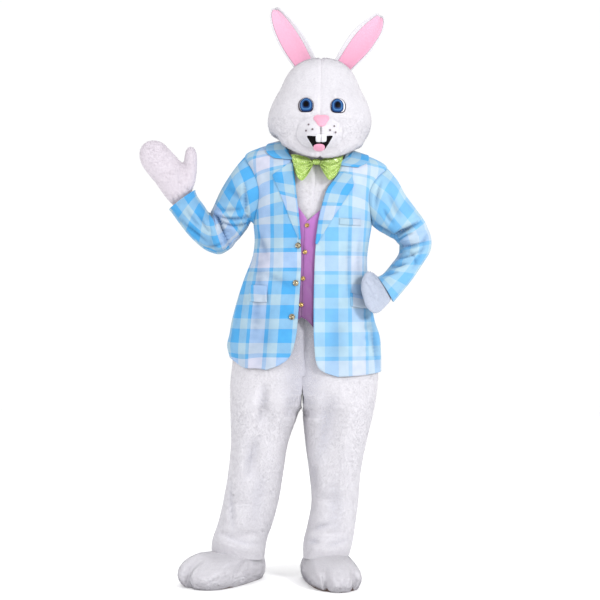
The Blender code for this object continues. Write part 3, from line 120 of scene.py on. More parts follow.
class Form:
    """A stack of rings. An angle of 0 is the left side, -90 degrees the front."""

    def __init__(self, rows, creases=()):
        self.rows = np.array(rows, dtype=float)[:, FORM_SIZES]
        self.creases = creases

    def inset(self, amount):
        """The same form inside this one."""
        made = Form(self.rows, self.creases)
        made.rows[:, 6:9] -= amount[:, None]
        made.rows[:, 0:3] -= (made.rows[:, CAP] * amount)[:, None]
        return made

    def plain(self, level, angle):
        level, angle = np.broadcast_arrays(level, angle)
        side_z, front_z, back_z, tilt, middle_x, middle_y, half, front, back, _ = np.moveaxis(
            blend(self.rows, level), -1, 0)
        cosine, sine = np.cos(angle), np.sin(angle)
        x = middle_x + half * power(cosine, 2 / SQUARENESS)
        y = middle_y + np.where(sine < 0, front, back) * power(sine, 2 / SQUARENESS)
        z = side_z * cosine ** 2 + np.where(sine < 0, front_z, back_z) * sine ** 2 + tilt * cosine
        return np.stack((x, y, z), axis=-1)

    def lean(self, shape, level, angle, step=0.02):
        across = shape(level, angle + step) - shape(level, angle - step)
        return unit(np.cross(across, shape(level + step, angle) - shape(level - step, angle)))

    def point(self, level, angle):
        spot = self.plain(level, angle)
        if not self.creases:
            return spot
        push = sum(crease(spot, np.broadcast_to(angle, spot.shape[:-1])) for crease in self.creases)
        return spot + self.lean(self.plain, level, angle) * push[..., None]

    def normal(self, level, angle):
        return self.lean(self.point, level, angle)

    def angle_at(self, level, x):
        """The front angle where the ring passes x."""
        row = blend(self.rows, level)
        share = np.clip((x - row[..., 4]) / row[..., 6], -1.0, 1.0)
        return -np.arccos(power(share, SQUARENESS / 2))

    def edge_angle(self, level, edge):
        """The angle where the ring meets a front edge, given as x for each height."""
        height = self.plain(level, FRONT)[..., 2]
        for _ in range(EDGE_TRIES):
            angle = self.angle_at(level, edge(height))
            height = self.plain(level, angle)[..., 2]
        return angle

    def level_at(self, height, angle):
        low = np.zeros(np.shape(height))
        high = low + len(self.rows) - 1.0
        for _ in range(LEVEL_TRIES):
            middle = (low + high) / 2
            below = self.plain(middle, angle)[..., 2] < height
            low, high = np.where(below, middle, low), np.where(below, high, middle)
        return (low + high) / 2

    def front(self, x, height, lift=0.0):
        """The spot on the front at this x and height, lifted off the form."""
        x, height, lift = np.broadcast_arrays(*(np.asarray(a, dtype=float) for a in (x, height, lift)))
        angle = np.full(x.shape, FRONT)
        for _ in range(FRONT_TRIES):
            level = self.level_at(height, angle)
            angle = self.angle_at(level, x)
        return self.point(level, angle) + self.normal(level, angle) * lift[..., None]


def armhole(level, opening, base=UNDERARM, tip=TIP):
    """Half the angle of the armhole at each level."""
    share = np.clip((level - base) / (tip - base), 0.0, 1.0)
    return math.radians(opening) * np.sin(math.pi * share) ** 0.6


def stretches(*rows):
    """Levels from rows of start, stop and count."""
    levels = [np.linspace(start, stop, count, endpoint=False) for start, stop, count in rows]
    return np.append(np.concatenate(levels), rows[-1][1])


def panel(form, levels, start, stop, columns, rows_at=None):
    """Points of a panel between two angle limits; rows_at bends its rows to a shaped hem."""
    share = np.linspace(0.0, 1.0, columns)
    level = np.repeat(levels[:, None], columns, axis=1) if rows_at is None else rows_at(levels, share)
    angle = start(level) + (stop(level) - start(level)) * share
    return form.point(level, angle), form.normal(level, angle)


def reach(grid, axis):
    """Running length of a grid's rows or columns."""
    steps = np.linalg.norm(np.diff(grid, axis=axis), axis=-1)
    start = np.zeros_like(np.take(steps, [0], axis=axis))
    return np.concatenate((start, np.cumsum(steps, axis=axis)), axis=axis)


def edge_reach(grid):
    """How far each point lies from the left, right, bottom and top edges."""
    across, along = reach(grid, 1), reach(grid, 0)
    return {"l": across, "r": across[:, -1:] - across, "b": along, "t": along[-1:] - along}


def sunk(grid, normals, edges, depth, width):
    """The grid with the named edges (l, r, b, t) drawn in along a soft groove."""
    away = edge_reach(grid)
    groove = sum(hill(away[edge], 0.0, width) for edge in edges)
    return grid - normals * (depth * groove)[..., None]


FOLD_STEPS = 15
# A sharp fold, narrower than SHARP, raises this share of its depth on its lower side.
SHARP, RAISED = 0.02, 0.35


def folded(grid, normals, folds):
    """Folds pushed into the grid: curved lines seen from the front or the back, each with its half
    width and depth, in millimetres. A trough's lower side is pushed up a little, as cloth is."""
    grid = grid.copy()
    for side, *sizes in folds:
        x0, z0, x1, z1, x2, z2, half, depth = np.array(sizes) / 1000
        facing = np.clip(-side * normals[..., 1] * 1.6, 0.0, 1.0)
        share = np.linspace(0.0, 1.0, FOLD_STEPS)[:, None]
        line = ((1 - share) ** 2 * (x0, z0) + 2 * share * (1 - share) * (x1, z1) + share ** 2 * (x2, z2))
        flat = grid[..., (0, 2)]
        apart = flat[..., None, :] - line
        nearest = np.argmin((apart ** 2).sum(axis=-1), axis=-1)
        way = unit(np.gradient(line, axis=0))[nearest]
        gap = np.take_along_axis(apart, nearest[..., None, None], axis=-2)[..., 0, :]
        signed = way[..., 0] * gap[..., 1] - way[..., 1] * gap[..., 0]
        far = np.linalg.norm(gap, axis=-1)
        taper = np.sin(math.pi * (0.02 + 0.96 * nearest / (FOLD_STEPS - 1.0))) ** 0.9
        beside = np.exp(-((signed + 2.1 * half) / (1.2 * half)) ** 2
                        - (np.maximum(far - 3.6 * half, 0) / half) ** 2)
        push = hill(far, 0.0, half) - (RAISED if half < SHARP else 0.0) * beside
        grid += normals * (depth * facing * taper * push)[..., None]
    return grid


FOLD_DEEP = 0.012


def fold_shade_share(cut, worked, normals):
    """How deep each point of a grid lies in its folds, from 0 on the swells to 1 in the deepest; it sets how
    much painted shade darkens the colour there.
    """
    deep = np.sum((cut - worked) * normals, axis=-1)
    return np.clip(deep / FOLD_DEEP, 0.0, 1.0)


def grid_faces(grid, around):
    """The four-sided faces between a grid's points; around closes its rows into rings."""
    rows, columns = grid.shape[:2]
    index = np.arange(rows * columns).reshape(rows, columns)
    wide = np.concatenate((index, index[:, :1]), axis=1) if around else index
    return np.stack((wide[:-1, :-1], wide[:-1, 1:], wide[1:, 1:], wide[1:, :-1]), axis=-1).reshape(-1, 4)


def shell(name, grid, normals, thickness, finish, fibre=None, around=False, hollow=None):
    """A thin sewn shell under a grid of points, with rounded edges and its cloth map in metres.
    hollow is how deep each point lies in the folds; it is stored on the mesh for the painted shade that
    darkens the colour there."""
    rows, columns = grid.shape[:2]
    count = rows * columns
    index = np.arange(count).reshape(rows, columns)
    quads = grid_faces(grid, around)
    out = np.zeros_like(grid)
    out[0] += unit(grid[0] - grid[1])
    out[-1] += unit(grid[-1] - grid[-2])
    if not around:
        out[:, 0] += unit(grid[:, 0] - grid[:, 1])
        out[:, -1] += unit(grid[:, -1] - grid[:, -2])
    thickness = np.broadcast_to(thickness, grid.shape[:2])[..., None]
    under = grid - normals * thickness
    if around:
        rims = [index[0], np.roll(index[-1][::-1], 1)]
    else:
        rims = [np.concatenate((index[0], index[1:, -1], index[-1, -2::-1], index[-2:0:-1, 0]))]
    points = [grid.reshape(-1, 3), under.reshape(-1, 3)]
    faces = [quads, quads[:, ::-1] + count]
    total = 2 * count
    for rim in rims:
        middle = ((grid + under) / 2 + unit(out) * thickness / 2).reshape(-1, 3)[rim]
        mid = total + np.arange(len(rim))
        total += len(rim)
        points.append(middle)
        after, mid_after = np.roll(rim, -1), np.roll(mid, -1)
        faces.append(np.stack((after, rim, mid, mid_after), axis=-1))
        faces.append(np.stack((mid_after, mid, rim + count, after + count), axis=-1))
    points = np.concatenate(points)
    faces = np.concatenate(faces)
    corner = points[quads[:, :3]]
    facing = np.cross(corner[:, 1] - corner[:, 0], corner[:, 2] - corner[:, 0])
    if np.sum(facing * normals.reshape(-1, 3)[quads[:, 0]]) < 0:
        faces = faces[:, ::-1]
    piece = meshed(name, points, faces, finish)
    if hollow is not None:
        deep = np.concatenate((hollow.reshape(-1), np.zeros(len(points) - count)))
        layer = piece.data.attributes.new("hollow", "FLOAT", "POINT")
        layer.data.foreach_set("value", deep.astype(np.float32))
    if fibre is not None:
        flat = fibre.reshape(-1, 2)
        spots = np.concatenate((flat, flat, *[flat[rim] for rim in rims]))
        layer = piece.data.uv_layers.new(name="cloth")
        layer.data.foreach_set("uv", spots[faces.reshape(-1)].astype(np.float32).reshape(-1))
    return piece


def linked(name, data):
    """An object of the scene with this mesh, lamp or camera."""
    made = bpy.data.objects.new(name, data)
    bpy.context.scene.collection.objects.link(made)
    return made


def meshed(name, points, faces, finish):
    """A smooth mesh object from arrays of points and faces."""
    mesh = bpy.data.meshes.new(name)
    sides = faces.shape[1]
    mesh.vertices.add(len(points))
    mesh.vertices.foreach_set("co", np.asarray(points, dtype=np.float32).reshape(-1))
    mesh.loops.add(faces.size)
    mesh.loops.foreach_set("vertex_index", faces.reshape(-1).astype(np.int32))
    mesh.polygons.add(len(faces))
    mesh.polygons.foreach_set("loop_start", np.arange(0, faces.size, sides, dtype=np.int32))
    mesh.update(calc_edges=True)
    mesh.polygons.foreach_set("use_smooth", [True] * len(faces))
    mesh.materials.append(finish)
    return linked(name, mesh)


def placed(piece, node=None):
    """The piece belongs to the costume's one body, and stands for its solid where it has one."""
    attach(piece, "root")
    if node:
        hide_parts(node)
    return piece


LEAST_CLOTH = 0.31


def sewn(piece, node, grid, around=False):
    """The piece stands for its solid; the flat size and area of the grid it was made from are worked out but
    not used.
    """
    placed(piece, node)
    closed = np.concatenate((grid, grid[:, :1]), axis=1) if around else grid
    across, along = reach(closed, 1), reach(closed, 0)
    flat = (float(across[:, -1].max()), float(along[-1].max()))
    side_a, side_b = closed[:-1, 1:] - closed[:-1, :-1], closed[1:, :-1] - closed[:-1, :-1]
    area = float(np.linalg.norm(np.cross(side_a, side_b), axis=-1).sum())
    area = min(max(area, LEAST_CLOTH * flat[0] * flat[1]), flat[0] * flat[1])


def grid_lean(grid, normals):
    """Normals of a worked grid, on the side of its first normals."""
    fresh = unit(np.cross(np.gradient(grid, axis=1), np.gradient(grid, axis=0)))
    return fresh * np.where(np.sum(fresh * normals, axis=-1, keepdims=True) < 0, -1.0, 1.0)


def shade(code):
    """Linear colour of a six-figure colour code."""
    values = [int(code[place:place + 2], 16) / 255 for place in (0, 2, 4)]
    return (*[v / 12.92 if v <= 0.04045 else ((v + 0.055) / 1.055) ** 2.4 for v in values], 1.0)


class Finish:
    """A procedural material, put together a node at a time."""

    def __init__(self, name, roughness, **sockets):
        self.material = bpy.data.materials.new(name)
        self.material.use_nodes = True
        self.tree = self.material.node_tree
        self.shader = self.tree.nodes["Principled BSDF"]
        self.shader.inputs["Roughness"].default_value = roughness
        for key, value in sockets.items():
            self.shader.inputs[key.replace("_", " ").title().replace("Ior", "IOR")].default_value = value

    def node(self, kind, inputs, **settings):
        made = self.tree.nodes.new("ShaderNode" + kind)
        for key, value in settings.items():
            setattr(made, key, value)
        for key, value in inputs.items():
            if isinstance(value, bpy.types.NodeSocket):
                self.tree.links.new(value, made.inputs[key])
            else:
                made.inputs[key].default_value = value
        return made

    def sum(self, operation, first, second=0.0):
        return self.node("Math", {0: first, 1: second}, operation=operation).outputs[0]

    def place(self):
        return self.node("TexCoord", {}).outputs["Object"]

    def cloth(self):
        split = self.node("SeparateXYZ", {0: self.node("TexCoord", {}).outputs["UV"]})
        return split.outputs[0], split.outputs[1]

    def noise(self, scale, detail=2.0, where=None):
        where = self.place() if where is None else where
        return self.node("TexNoise", {"Vector": where, "Scale": scale, "Detail": detail}).outputs["Fac"]

    def ramp(self, value, stops, interpolation="LINEAR"):
        made = self.node("ValToRGB", {0: value})
        band = made.color_ramp
        band.interpolation = interpolation
        for number, (position, colour) in enumerate(stops):
            stop = band.elements[number] if number < 2 else band.elements.new(position)
            stop.position = position
            stop.color = shade(colour)
        return made.outputs[0]

    def mix(self, share, first, second, how="MIX"):
        return self.node("Mix", {0: share, 6: first, 7: second}, data_type="RGBA",
                         blend_type=how).outputs[2]

    def painted_fold_shade(self, colour, shadow, most):
        """Painted shade: the colour, mixed toward a shade colour down in the folds, as far as the hollow
        attribute says.
        """
        hollow = self.node("Attribute", {}, attribute_name="hollow").outputs["Fac"]
        return self.mix(self.sum("MULTIPLY", hollow, most), colour, shade(shadow))

    def done(self, colour, height=None, depth=0.001, strength=1.0):
        if isinstance(colour, bpy.types.NodeSocket):
            self.tree.links.new(colour, self.shader.inputs["Base Color"])
        else:
            self.shader.inputs["Base Color"].default_value = colour
        if height is not None:
            bump = self.node("Bump", {"Height": height, "Distance": depth, "Strength": strength})
            self.tree.links.new(bump.outputs[0], self.shader.inputs["Normal"])
        return self.material


def mottled(name, roughness, grain, stops, bump=(), **sockets):
    """Two colours mixed by one grain of (scale, detail); bump is how deep and strong it stands."""
    made = Finish(name, roughness, **sockets)
    fibres = made.noise(*grain)
    return made.done(made.ramp(fibres, stops), fibres if bump else None, *bump)


SOFT_SHEEN = {"sheen_weight": 0.15, "sheen_roughness": 0.5, "specular_ior_level": 0.2}


def plush(name, shadow, light):
    """Short pile: clumped tufts that read darker where the pile parts, and painted shade that darkens the
    folds.
    """
    made = Finish(name, 0.95, **SOFT_SHEEN)
    clumps = made.noise(170.0, 3.0)
    patches = made.noise(14.0, 2.0)
    tone = made.sum("ADD", made.sum("MULTIPLY", clumps, 0.8), made.sum("MULTIPLY", patches, 0.2))
    pelt = made.ramp(tone, ((0.32, shadow), (0.62, light)))
    return made.done(made.painted_fold_shade(pelt, "9091a0", 0.55), clumps, 0.0013, 0.8)


WHITE_PLUSH = plush("white_plush_cloth", "bbb9bf", "c6c4c9")


def tuft_finish(name, shadow, light):
    """Single tufts of pile, each a little lighter or darker than the next."""
    return mottled(name, 0.9, (420.0, 1.0), ((0.3, shadow), (0.7, light)), **SOFT_SHEEN)


WHITE_TUFT = tuft_finish("white_plush_pile", "c0bec4", "c8c6cb")
PILE_ROOT = 0.0006
TUFT_LIFT, TUFT_TOSS, TUFT_GRAIN = 0.28, 0.12, 0.8
# Tufts for each square metre of the suit.
LEG_PILE = 104000


def pile(name, grid, normals, density, length, seed, trim=None, around=False, width=0.0017,
         grain=(0.0, 0.0, -1.0), finish=WHITE_TUFT, faces=None):
    """Short tufts standing on a surface, laid over along the grain; trim shortens them at seams.
    density is tufts for each square metre."""
    tossed = np.random.default_rng(seed)
    faces = grid_faces(grid, around) if faces is None else faces
    points, normals = grid.reshape(-1, 3), normals.reshape(-1, 3)
    corners = np.concatenate((faces[:, (0, 1, 2)], faces[:, (0, 2, 3)])) if faces.shape[1] == 4 else faces
    spots = points[corners]
    areas = np.linalg.norm(np.cross(spots[:, 1] - spots[:, 0], spots[:, 2] - spots[:, 0]), axis=1) / 2
    count = int(density * areas.sum())
    picked = tossed.choice(len(corners), count, p=areas / areas.sum())
    share = np.sort(tossed.random((count, 2)), axis=1)
    weights = np.stack((share[:, 0], share[:, 1] - share[:, 0], 1 - share[:, 1]), axis=1)[..., None]
    root = (spots[picked] * weights).sum(axis=1)
    up = unit((normals[corners[picked]] * weights).sum(axis=1))
    size = length * (0.7 + 0.6 * tossed.random(count))
    if trim is not None:
        size = size * (trim.reshape(-1)[corners[picked]] * weights[..., 0]).sum(axis=1)
    toss = tossed.normal(size=(count, 3)) * TUFT_TOSS
    lay = unit(up * TUFT_LIFT + np.array(grain) * TUFT_GRAIN + toss)
    lay = unit(lay + up * np.maximum(TUFT_LIFT - np.sum(lay * up, axis=1), 0)[:, None])
    aside = unit(np.cross(lay, up)) * (width / 2)
    root = root - up * PILE_ROOT
    tufts = np.stack((root - aside, root + aside, root + lay * size[:, None]), axis=1)
    tufts = tufts[size > 0.12 * length].reshape(-1, 3)
    piece = meshed(name, tufts, np.arange(len(tufts)).reshape(-1, 3), finish)
    piece.data.polygons.foreach_set("use_smooth", [False] * (len(tufts) // 3))
    return placed(piece)


def seam_trim(grid, edges, width=0.006, least=0.35):
    """Pile length share, less near the named edges."""
    away = edge_reach(grid)
    share = np.ones(grid.shape[:2])
    for edge in edges:
        share = share * (1 - (1 - least) * hill(away[edge], 0.0, width))
    return share


# Each row of a leg, in mm: outer and inner x, their heights, centre y, depth of the front and back.
LEG_RIGHT = (
    (-384, -193, -1376, -1404, 20, 105, 100), (-381, -184, -1336, -1340, 18, 106, 102),
    (-360, -162, -1274, -1274, 15, 104, 103), (-340, -140, -1190, -1190, 10, 106, 106),
    (-323, -124, -1090, -1090, 4, 110, 110), (-313, -108, -990, -990, 1, 118, 118),
    (-314, -80, -905, -905, 0, 128, 128), (-315, -62, -866, -866, 0, 137, 137),
    (-315.5, -20, -842, -842, 2, 146, 146), (-316, 70, -810, -810, 3, 154, 152),
    (-315.5, 190, -765, -775, 4, 160, 157))
LEG_LEFT = (
    (112, -54, -1386, -1394, -10, 100, 110), (124, -53, -1345, -1345, -4, 103, 108),
    (133, -40, -1290, -1290, 2, 100, 104), (145, -24, -1200, -1200, 6, 102, 104),
    (154, -33, -1090, -1090, 4, 110, 110), (173, -46, -990, -990, 1, 118, 118),
    (193, -54, -905, -905, 0, 128, 128), (201, -60, -866, -866, 0, 137, 137),
    (206, -104, -842, -842, 2, 146, 146), (211, -190, -810, -810, 3, 154, 152),
    (216, -310, -765, -775, 4, 160, 157))
# The neck's rings, above the body's and with the same columns but the last two.
NECK_TUBE = (
    (90, 80, 94, -12, 5, 0, 104, 82, 85, 200), (112, 100, 112, -6, 5, 0, 104, 92.5, 90.5, 0),
    (140, 135, 140, 0, 5, 0, 100.5, 94.5, 92.5, 0))
LEG_ROWS = len(LEG_RIGHT)
BODY_MIDDLE_X = -0.060
# The largest folds of the legs, in mm: centre, half sizes, slant in thousandths, depth (a trough is
# less than 0) and side.
LEG_CREASES = (
    (-110, -885, 36, 45, 0, 20, 1), (-10, -885, 36, 45, 0, 20, 1), (-190, -870, 24, 120, -120, -8, 1),
    (-245, -960, 28, 120, 100, 8, 1), (-230, -1060, 24, 110, -150, -8, 1), (-280, -1200, 40, 22, 0, -7, 1),
    (-260, -1310, 60, 20, 0, -10, 1), (45, -970, 30, 140, 150, -11, 1), (110, -1000, 28, 150, 100, 6, 1),
    (30, -1180, 40, 20, 0, -8, 1), (10, -1300, 60, 18, 0, -10, 1), (-250, -1020, 26, 140, 100, -10, -1),
    (-240, -1240, 60, 22, 0, -8, -1), (70, -1020, 26, 140, -50, -10, -1), (60, -1240, 60, 22, 0, -8, -1))


def leg_crease(side, x, z, half_width, half_height, slant, depth):
    def push(spot, angle):
        facing = np.maximum(-side * np.sin(angle), 0.0)
        across = (spot[..., 0] - x - slant * (spot[..., 2] - z)) / half_width
        upward = (spot[..., 2] - z) / half_height
        return depth * facing * np.exp(-across ** 2 - upward ** 2)
    return push


def suit_half(legs, outward):
    """The form of one half of the suit, from ankle to neck."""
    rows = []
    for outer, inner, outer_z, inner_z, centre_y, front, back in np.array(legs) / 1000:
        middle = (outer_z + inner_z) / 2
        rows.append((middle, middle, middle, outward * (outer_z - inner_z) / 2, (outer + inner) / 2,
                     centre_y, abs(outer - inner) / 2, front, back, 0.0))
    rows += [tuple(row) for row in Form(BODY).inset(BODY[:, 11]).rows] + list(np.array(NECK_TUBE) / 1000)
    return Form(rows, tuple(leg_crease(row[-1], *np.array(row[:-1]) / 1000) for row in LEG_CREASES))


SUIT_WALL = 0.0030
SUIT_OPENING = 30.0
SUIT_UNDERARM, SUIT_TIP = LEG_ROWS + UNDERARM + 0.5, LEG_ROWS + TIP
SUIT_NECK = LEG_ROWS + NECK
suit_levels = stretches((0, 7, 72), (7, LEG_ROWS, 26), (LEG_ROWS, SUIT_UNDERARM, 26),
                        (SUIT_UNDERARM, SUIT_TIP, 16), (SUIT_TIP, SUIT_NECK, 14),
                        (SUIT_NECK, SUIT_NECK + 3, 8))
JACKET_HIDES = LEG_ROWS + 3.0
CHEST_FROM, CHEST_TO, CHEST_COLUMNS = LEG_ROWS + 7, SUIT_NECK + 0.5, 15
# Finer folds: side (1 front, -1 back), then in mm start, bend and stop as x and height, half width
# and depth.
SUIT_FOLDS = (
    (1, -50, -420, -52, -620, -60, -910, 60, -24), (1, -195, -760, -188, -840, -205, -915, 14, -10),
    (1, -215, -950, -245, -1030, -252, -1110, 17, -11), (1, -316, -1120, -312, -1210, -302, -1300, 9, -10),
    (1, -120, -850, -140, -960, -175, -1120, 30, 7), (1, -255, -800, -262, -900, -280, -1040, 24, 6),
    (1, -190, -1060, -215, -1160, -225, -1290, 24, -7), (1, -95, -800, -110, -880, -125, -980, 18, -6),
    (1, 50, -790, 35, -900, -5, -1060, 26, -12), (1, 115, -820, 105, -950, 90, -1120, 30, 8),
    (1, -30, -1050, -12, -1110, -22, -1170, 13, -9), (1, -20, -1292, 10, -1275, 45, -1268, 12, -9),
    (1, 60, -1090, 50, -1200, 66, -1330, 24, -7), (1, -360, -1300, -290, -1335, -190, -1345, 12, -6),
    (1, -50, -1345, -20, -1320, 5, -1330, 12, -9), (1, 20, -1340, 70, -1335, 115, -1325, 12, -5),
    (-1, -290, -800, -190, -860, -90, -850, 20, -6), (-1, 180, -800, 70, -860, -30, -850, 20, -6),
    (-1, -170, -900, -210, -1050, -200, -1250, 24, -6), (-1, 20, -900, 60, -1050, 30, -1250, 24, -6))


def middle_edge(form):
    """The centre seam above the crotch, the inseam below it."""
    def angle(level):
        seam = form.angle_at(level, BODY_MIDDLE_X + 0.004 * level / LEG_ROWS)
        return np.where(level >= LEG_ROWS, FRONT, seam)
    return angle


def suit_limit(side, way):
    """Angle of the side seam, cut round the armhole; way is 1 on the front and -1 on the back."""
    side_seam, inward = (-RIGHT, 1.0) if side == "right" else (LEFT, -1.0)
    return lambda level: way * (side_seam + inward * armhole(level, SUIT_OPENING, SUIT_UNDERARM, SUIT_TIP))


suit_forms = {"right": suit_half(LEG_RIGHT, -1.0), "left": suit_half(LEG_LEFT, 1.0)}
for side, form in suit_forms.items():
    for face, way in (("front", 1), ("back", -1)):
        middle = middle_edge(form)
        cut, lean = panel(form, suit_levels, lambda t: way * middle(t), suit_limit(side, way), columns=28)
        worked = folded(cut, lean, [row for row in SUIT_FOLDS if row[0] == way])
        lean = grid_lean(worked, lean)
        groove = np.where(suit_levels > LEG_ROWS + 5, 0.0012, 0.0050)[:, None]
        worked = sunk(worked, lean, "lr", groove, width=0.009)
        piece = shell(f"{side}_suit_{face}", worked, lean, SUIT_WALL, WHITE_PLUSH,
                      hollow=fold_shade_share(cut, worked, lean))
        shown = suit_levels <= JACKET_HIDES
        trims = [pile(f"{side}_suit_{face}_pile", worked[shown], lean[shown], LEG_PILE, length=0.0065,
                      seed=11, trim=seam_trim(worked[shown], "lr"))]
        if face == "front":
            shown = (suit_levels >= CHEST_FROM) & (suit_levels <= CHEST_TO)
            bib, bib_lean = worked[shown, :CHEST_COLUMNS], lean[shown, :CHEST_COLUMNS]
            trims.append(pile(f"{side}_chest_pile", bib, bib_lean, LEG_PILE, length=0.0070, seed=12,
                              trim=seam_trim(bib, "l")))
        sewn(piece, f"suit_{face}_{side}", cut)

# ----------------------------------------
# Suit sleeves: plush tubes set into the suit's armholes, worn inside the jacket's sleeves. Their
# cuffs end just inside the jacket's. Both layers follow the same bent arms.
LOOP_STEPS = 72
SLEEVE_RIGHT = (
    # in mm: outer x, outer z, inner x, inner z, centre y, half depth
    (-305, -10, -242, -195, 0, 78), (-348, -76, -256, -222, 10, 74), (-379, -140, -286, -258, 20, 70),
    (-388, -156, -314, -288, 28, 69), (-392, -158, -353, -310, 30, 69), (-398, -155, -403, -297, 26, 68),
    (-413, -132, -456, -252, 12, 64), (-432, -106, -495, -203, -12, 58), (-443, -85, -528, -151, -40, 52))
SLEEVE_LEFT = (
    (285, -45, 208, -218, 0, 78), (315, -95, 233, -235, 12, 74), (350, -140, 265, -252, 24, 70),
    (390, -195, 288, -268, 36, 69), (410, -245, 295, -283, 42, 69), (408, -295, 289, -314, 36, 68),
    (376, -348, 262, -350, 18, 64), (329, -414, 235, -380, -10, 58), (270, -482, 213, -392, -36, 52))
SUIT_SLEEVE_INSET = 0.0110
SUIT_SLEEVE_ROWS, CUFF_ROWS = 40, 4
# Between shoulder and cuff the plush is drawn in this far, so that it stays inside the jacket.
SLEEVE_DRAWN_IN = 0.0120


def sleeve_loop(form, base, tip, opening, side, apart=2 * SEAM_GAP):
    """The armhole's edge, from the underarm over the front to the tip and down the back."""
    middle, turn = (RIGHT, -1.0) if side == "right" else (LEFT, 1.0)
    levels = base + (tip - base) * (1 - np.cos(np.linspace(0, math.pi, LOOP_STEPS + 1))) / 2
    hole = armhole(levels, opening, base, tip)
    front, rear = form.point(levels, middle - turn * hole), form.point(levels, middle + turn * hole)
    loop = np.concatenate((front, rear[-2:0:-1]))
    return loop + np.array((turn * apart, 0.0, 0.0))


def sleeve_rings(loop, stations, inset, rows):
    """Rings from the armhole to the cuff, smooth along the arm."""
    turns = np.linspace(0, 2 * math.pi, len(loop), endpoint=False)[:, None]
    rings = [loop]
    for outer_x, outer_z, inner_x, inner_z, centre_y, half_depth in stations:
        outer, inner = np.array((outer_x, centre_y, outer_z)), np.array((inner_x, centre_y, inner_z))
        reach = (outer - inner) / 2
        across = reach * (1.0 - inset / np.linalg.norm(reach))
        rings.append((outer + inner) / 2 - across * np.cos(turns)
                     - np.array((0.0, half_depth - inset, 0.0)) * np.sin(turns))
    grid = blend(np.array(rings), np.linspace(0.0, len(stations), rows))
    away = grid - grid.mean(axis=1, keepdims=True)
    return grid, ring_lean(grid, away)


def ring_lean(grid, away):
    """Normals of a grid whose rows are closed rings, facing the way of away."""
    across = np.roll(grid, -1, axis=1) - np.roll(grid, 1, axis=1)
    fresh = unit(np.cross(across, np.gradient(grid, axis=0)))
    turned = np.sign(np.sum(fresh * away, axis=(1, 2), keepdims=True))
    return fresh * turned


arms = {"right": np.array(SLEEVE_RIGHT) / 1000, "left": np.array(SLEEVE_LEFT) / 1000}
for side, stations in arms.items():
    loop = sleeve_loop(suit_forms[side], SUIT_UNDERARM, SUIT_TIP, SUIT_OPENING, side)
    fine, fine_lean = sleeve_rings(loop, stations, SUIT_SLEEVE_INSET, SUIT_SLEEVE_ROWS)
    grid, lean = fine[:, ::2], fine_lean[:, ::2]
    drawn_in = SLEEVE_DRAWN_IN * np.sin(np.linspace(0.0, math.pi, SUIT_SLEEVE_ROWS)) ** 0.7
    grid = grid - lean * drawn_in[:, None, None]
    piece = shell(f"{side}_suit_sleeve", grid, lean, SUIT_WALL, WHITE_PLUSH, around=True)
    cuff = pile(f"{side}_suit_cuff_pile", grid[-CUFF_ROWS:], lean[-CUFF_ROWS:], LEG_PILE, length=0.0060,
                seed=13, around=True)
    sewn(piece, f"suit_sleeve_{side}", grid, around=True)

# ----------------------------------------
# Feet: plush boot covers with three soft toe lobes, a seam round the spat at the instep and a heel
# drawn up in gathers. Each is stitched to a flat brown sole and its ankle goes up inside the leg.
FLOOR_Z = -1.4750
SOLE_THICKNESS = 0.0120
FOOT_WALL = 0.0040
ANKLE_INSET = 0.0062
FOOT = np.array((
    # in mm: height, heel, toe, half width at heel and toe, depth of the toe dips, rise of the toes
    (-11, 80, 262, 74, 99, 16, 0), (0, 84, 272, 78, 106, 22, 0), (18, 89, 284, 83, 113, 28, 0),
    (38, 90, 276, 83, 110, 28, 2), (54, 88, 240, 81, 97, 20, 6), (66, 85, 180, 77, 84, 8, 10),
    (76, 77, 100, 72, 74, 0, 10))) / 1000
TOE_DIPS = {"right": (math.radians(-16.0), math.radians(46.0)),
            "left": (math.radians(-24.0), math.radians(22.0))}
TOE_DIP_WIDTH = 0.11
# Where the plush is drawn up off the sole, how wide and how far.
SOLE_SHOWS, SOLE_SHOWN, SOLE_LIFT = math.radians(-52.0), 0.30, 0.010
FOOT_ROUNDING = 0.80
VALLEY_DEPTH, GATHER_DEPTH, GATHERS, SPAT_DEPTH = 0.0070, 0.0040, 17.0, 0.0022
# The stuffed outer toe of the right foot: where it stands out, how wide, and how far on each axis.
OUTER_TOE = {"right": (math.radians(-52.0), math.radians(34.0), (-0.030, -0.004, 0.018))}
# The share of it on each ring of the foot, outward and then upward.
TOE_SHARES = ((0.8, 1.0, 1.0, 1.0, 1.0, 0.7, 0.2, 0.0, 0.0), (0.0, 0.2, 0.5, 0.8, 1.0, 1.0, 0.4, 0.0, 0.0))
ANKLE_LEVELS = (0.50, 1.00)
FOOT_TURNS = np.linspace(-math.pi, math.pi, 96, endpoint=False)
FOOT_ROWS, FOOT_PILE_ROWS, FOOT_PILE = 60, 46, 170000
FEET = (
    # side, ankle x, ankle y, heading in degrees, width share
    ("right", -0.2880, 0.012, -28.0, 1.0), ("left", 0.0310, -0.008, 10.0, 0.95))


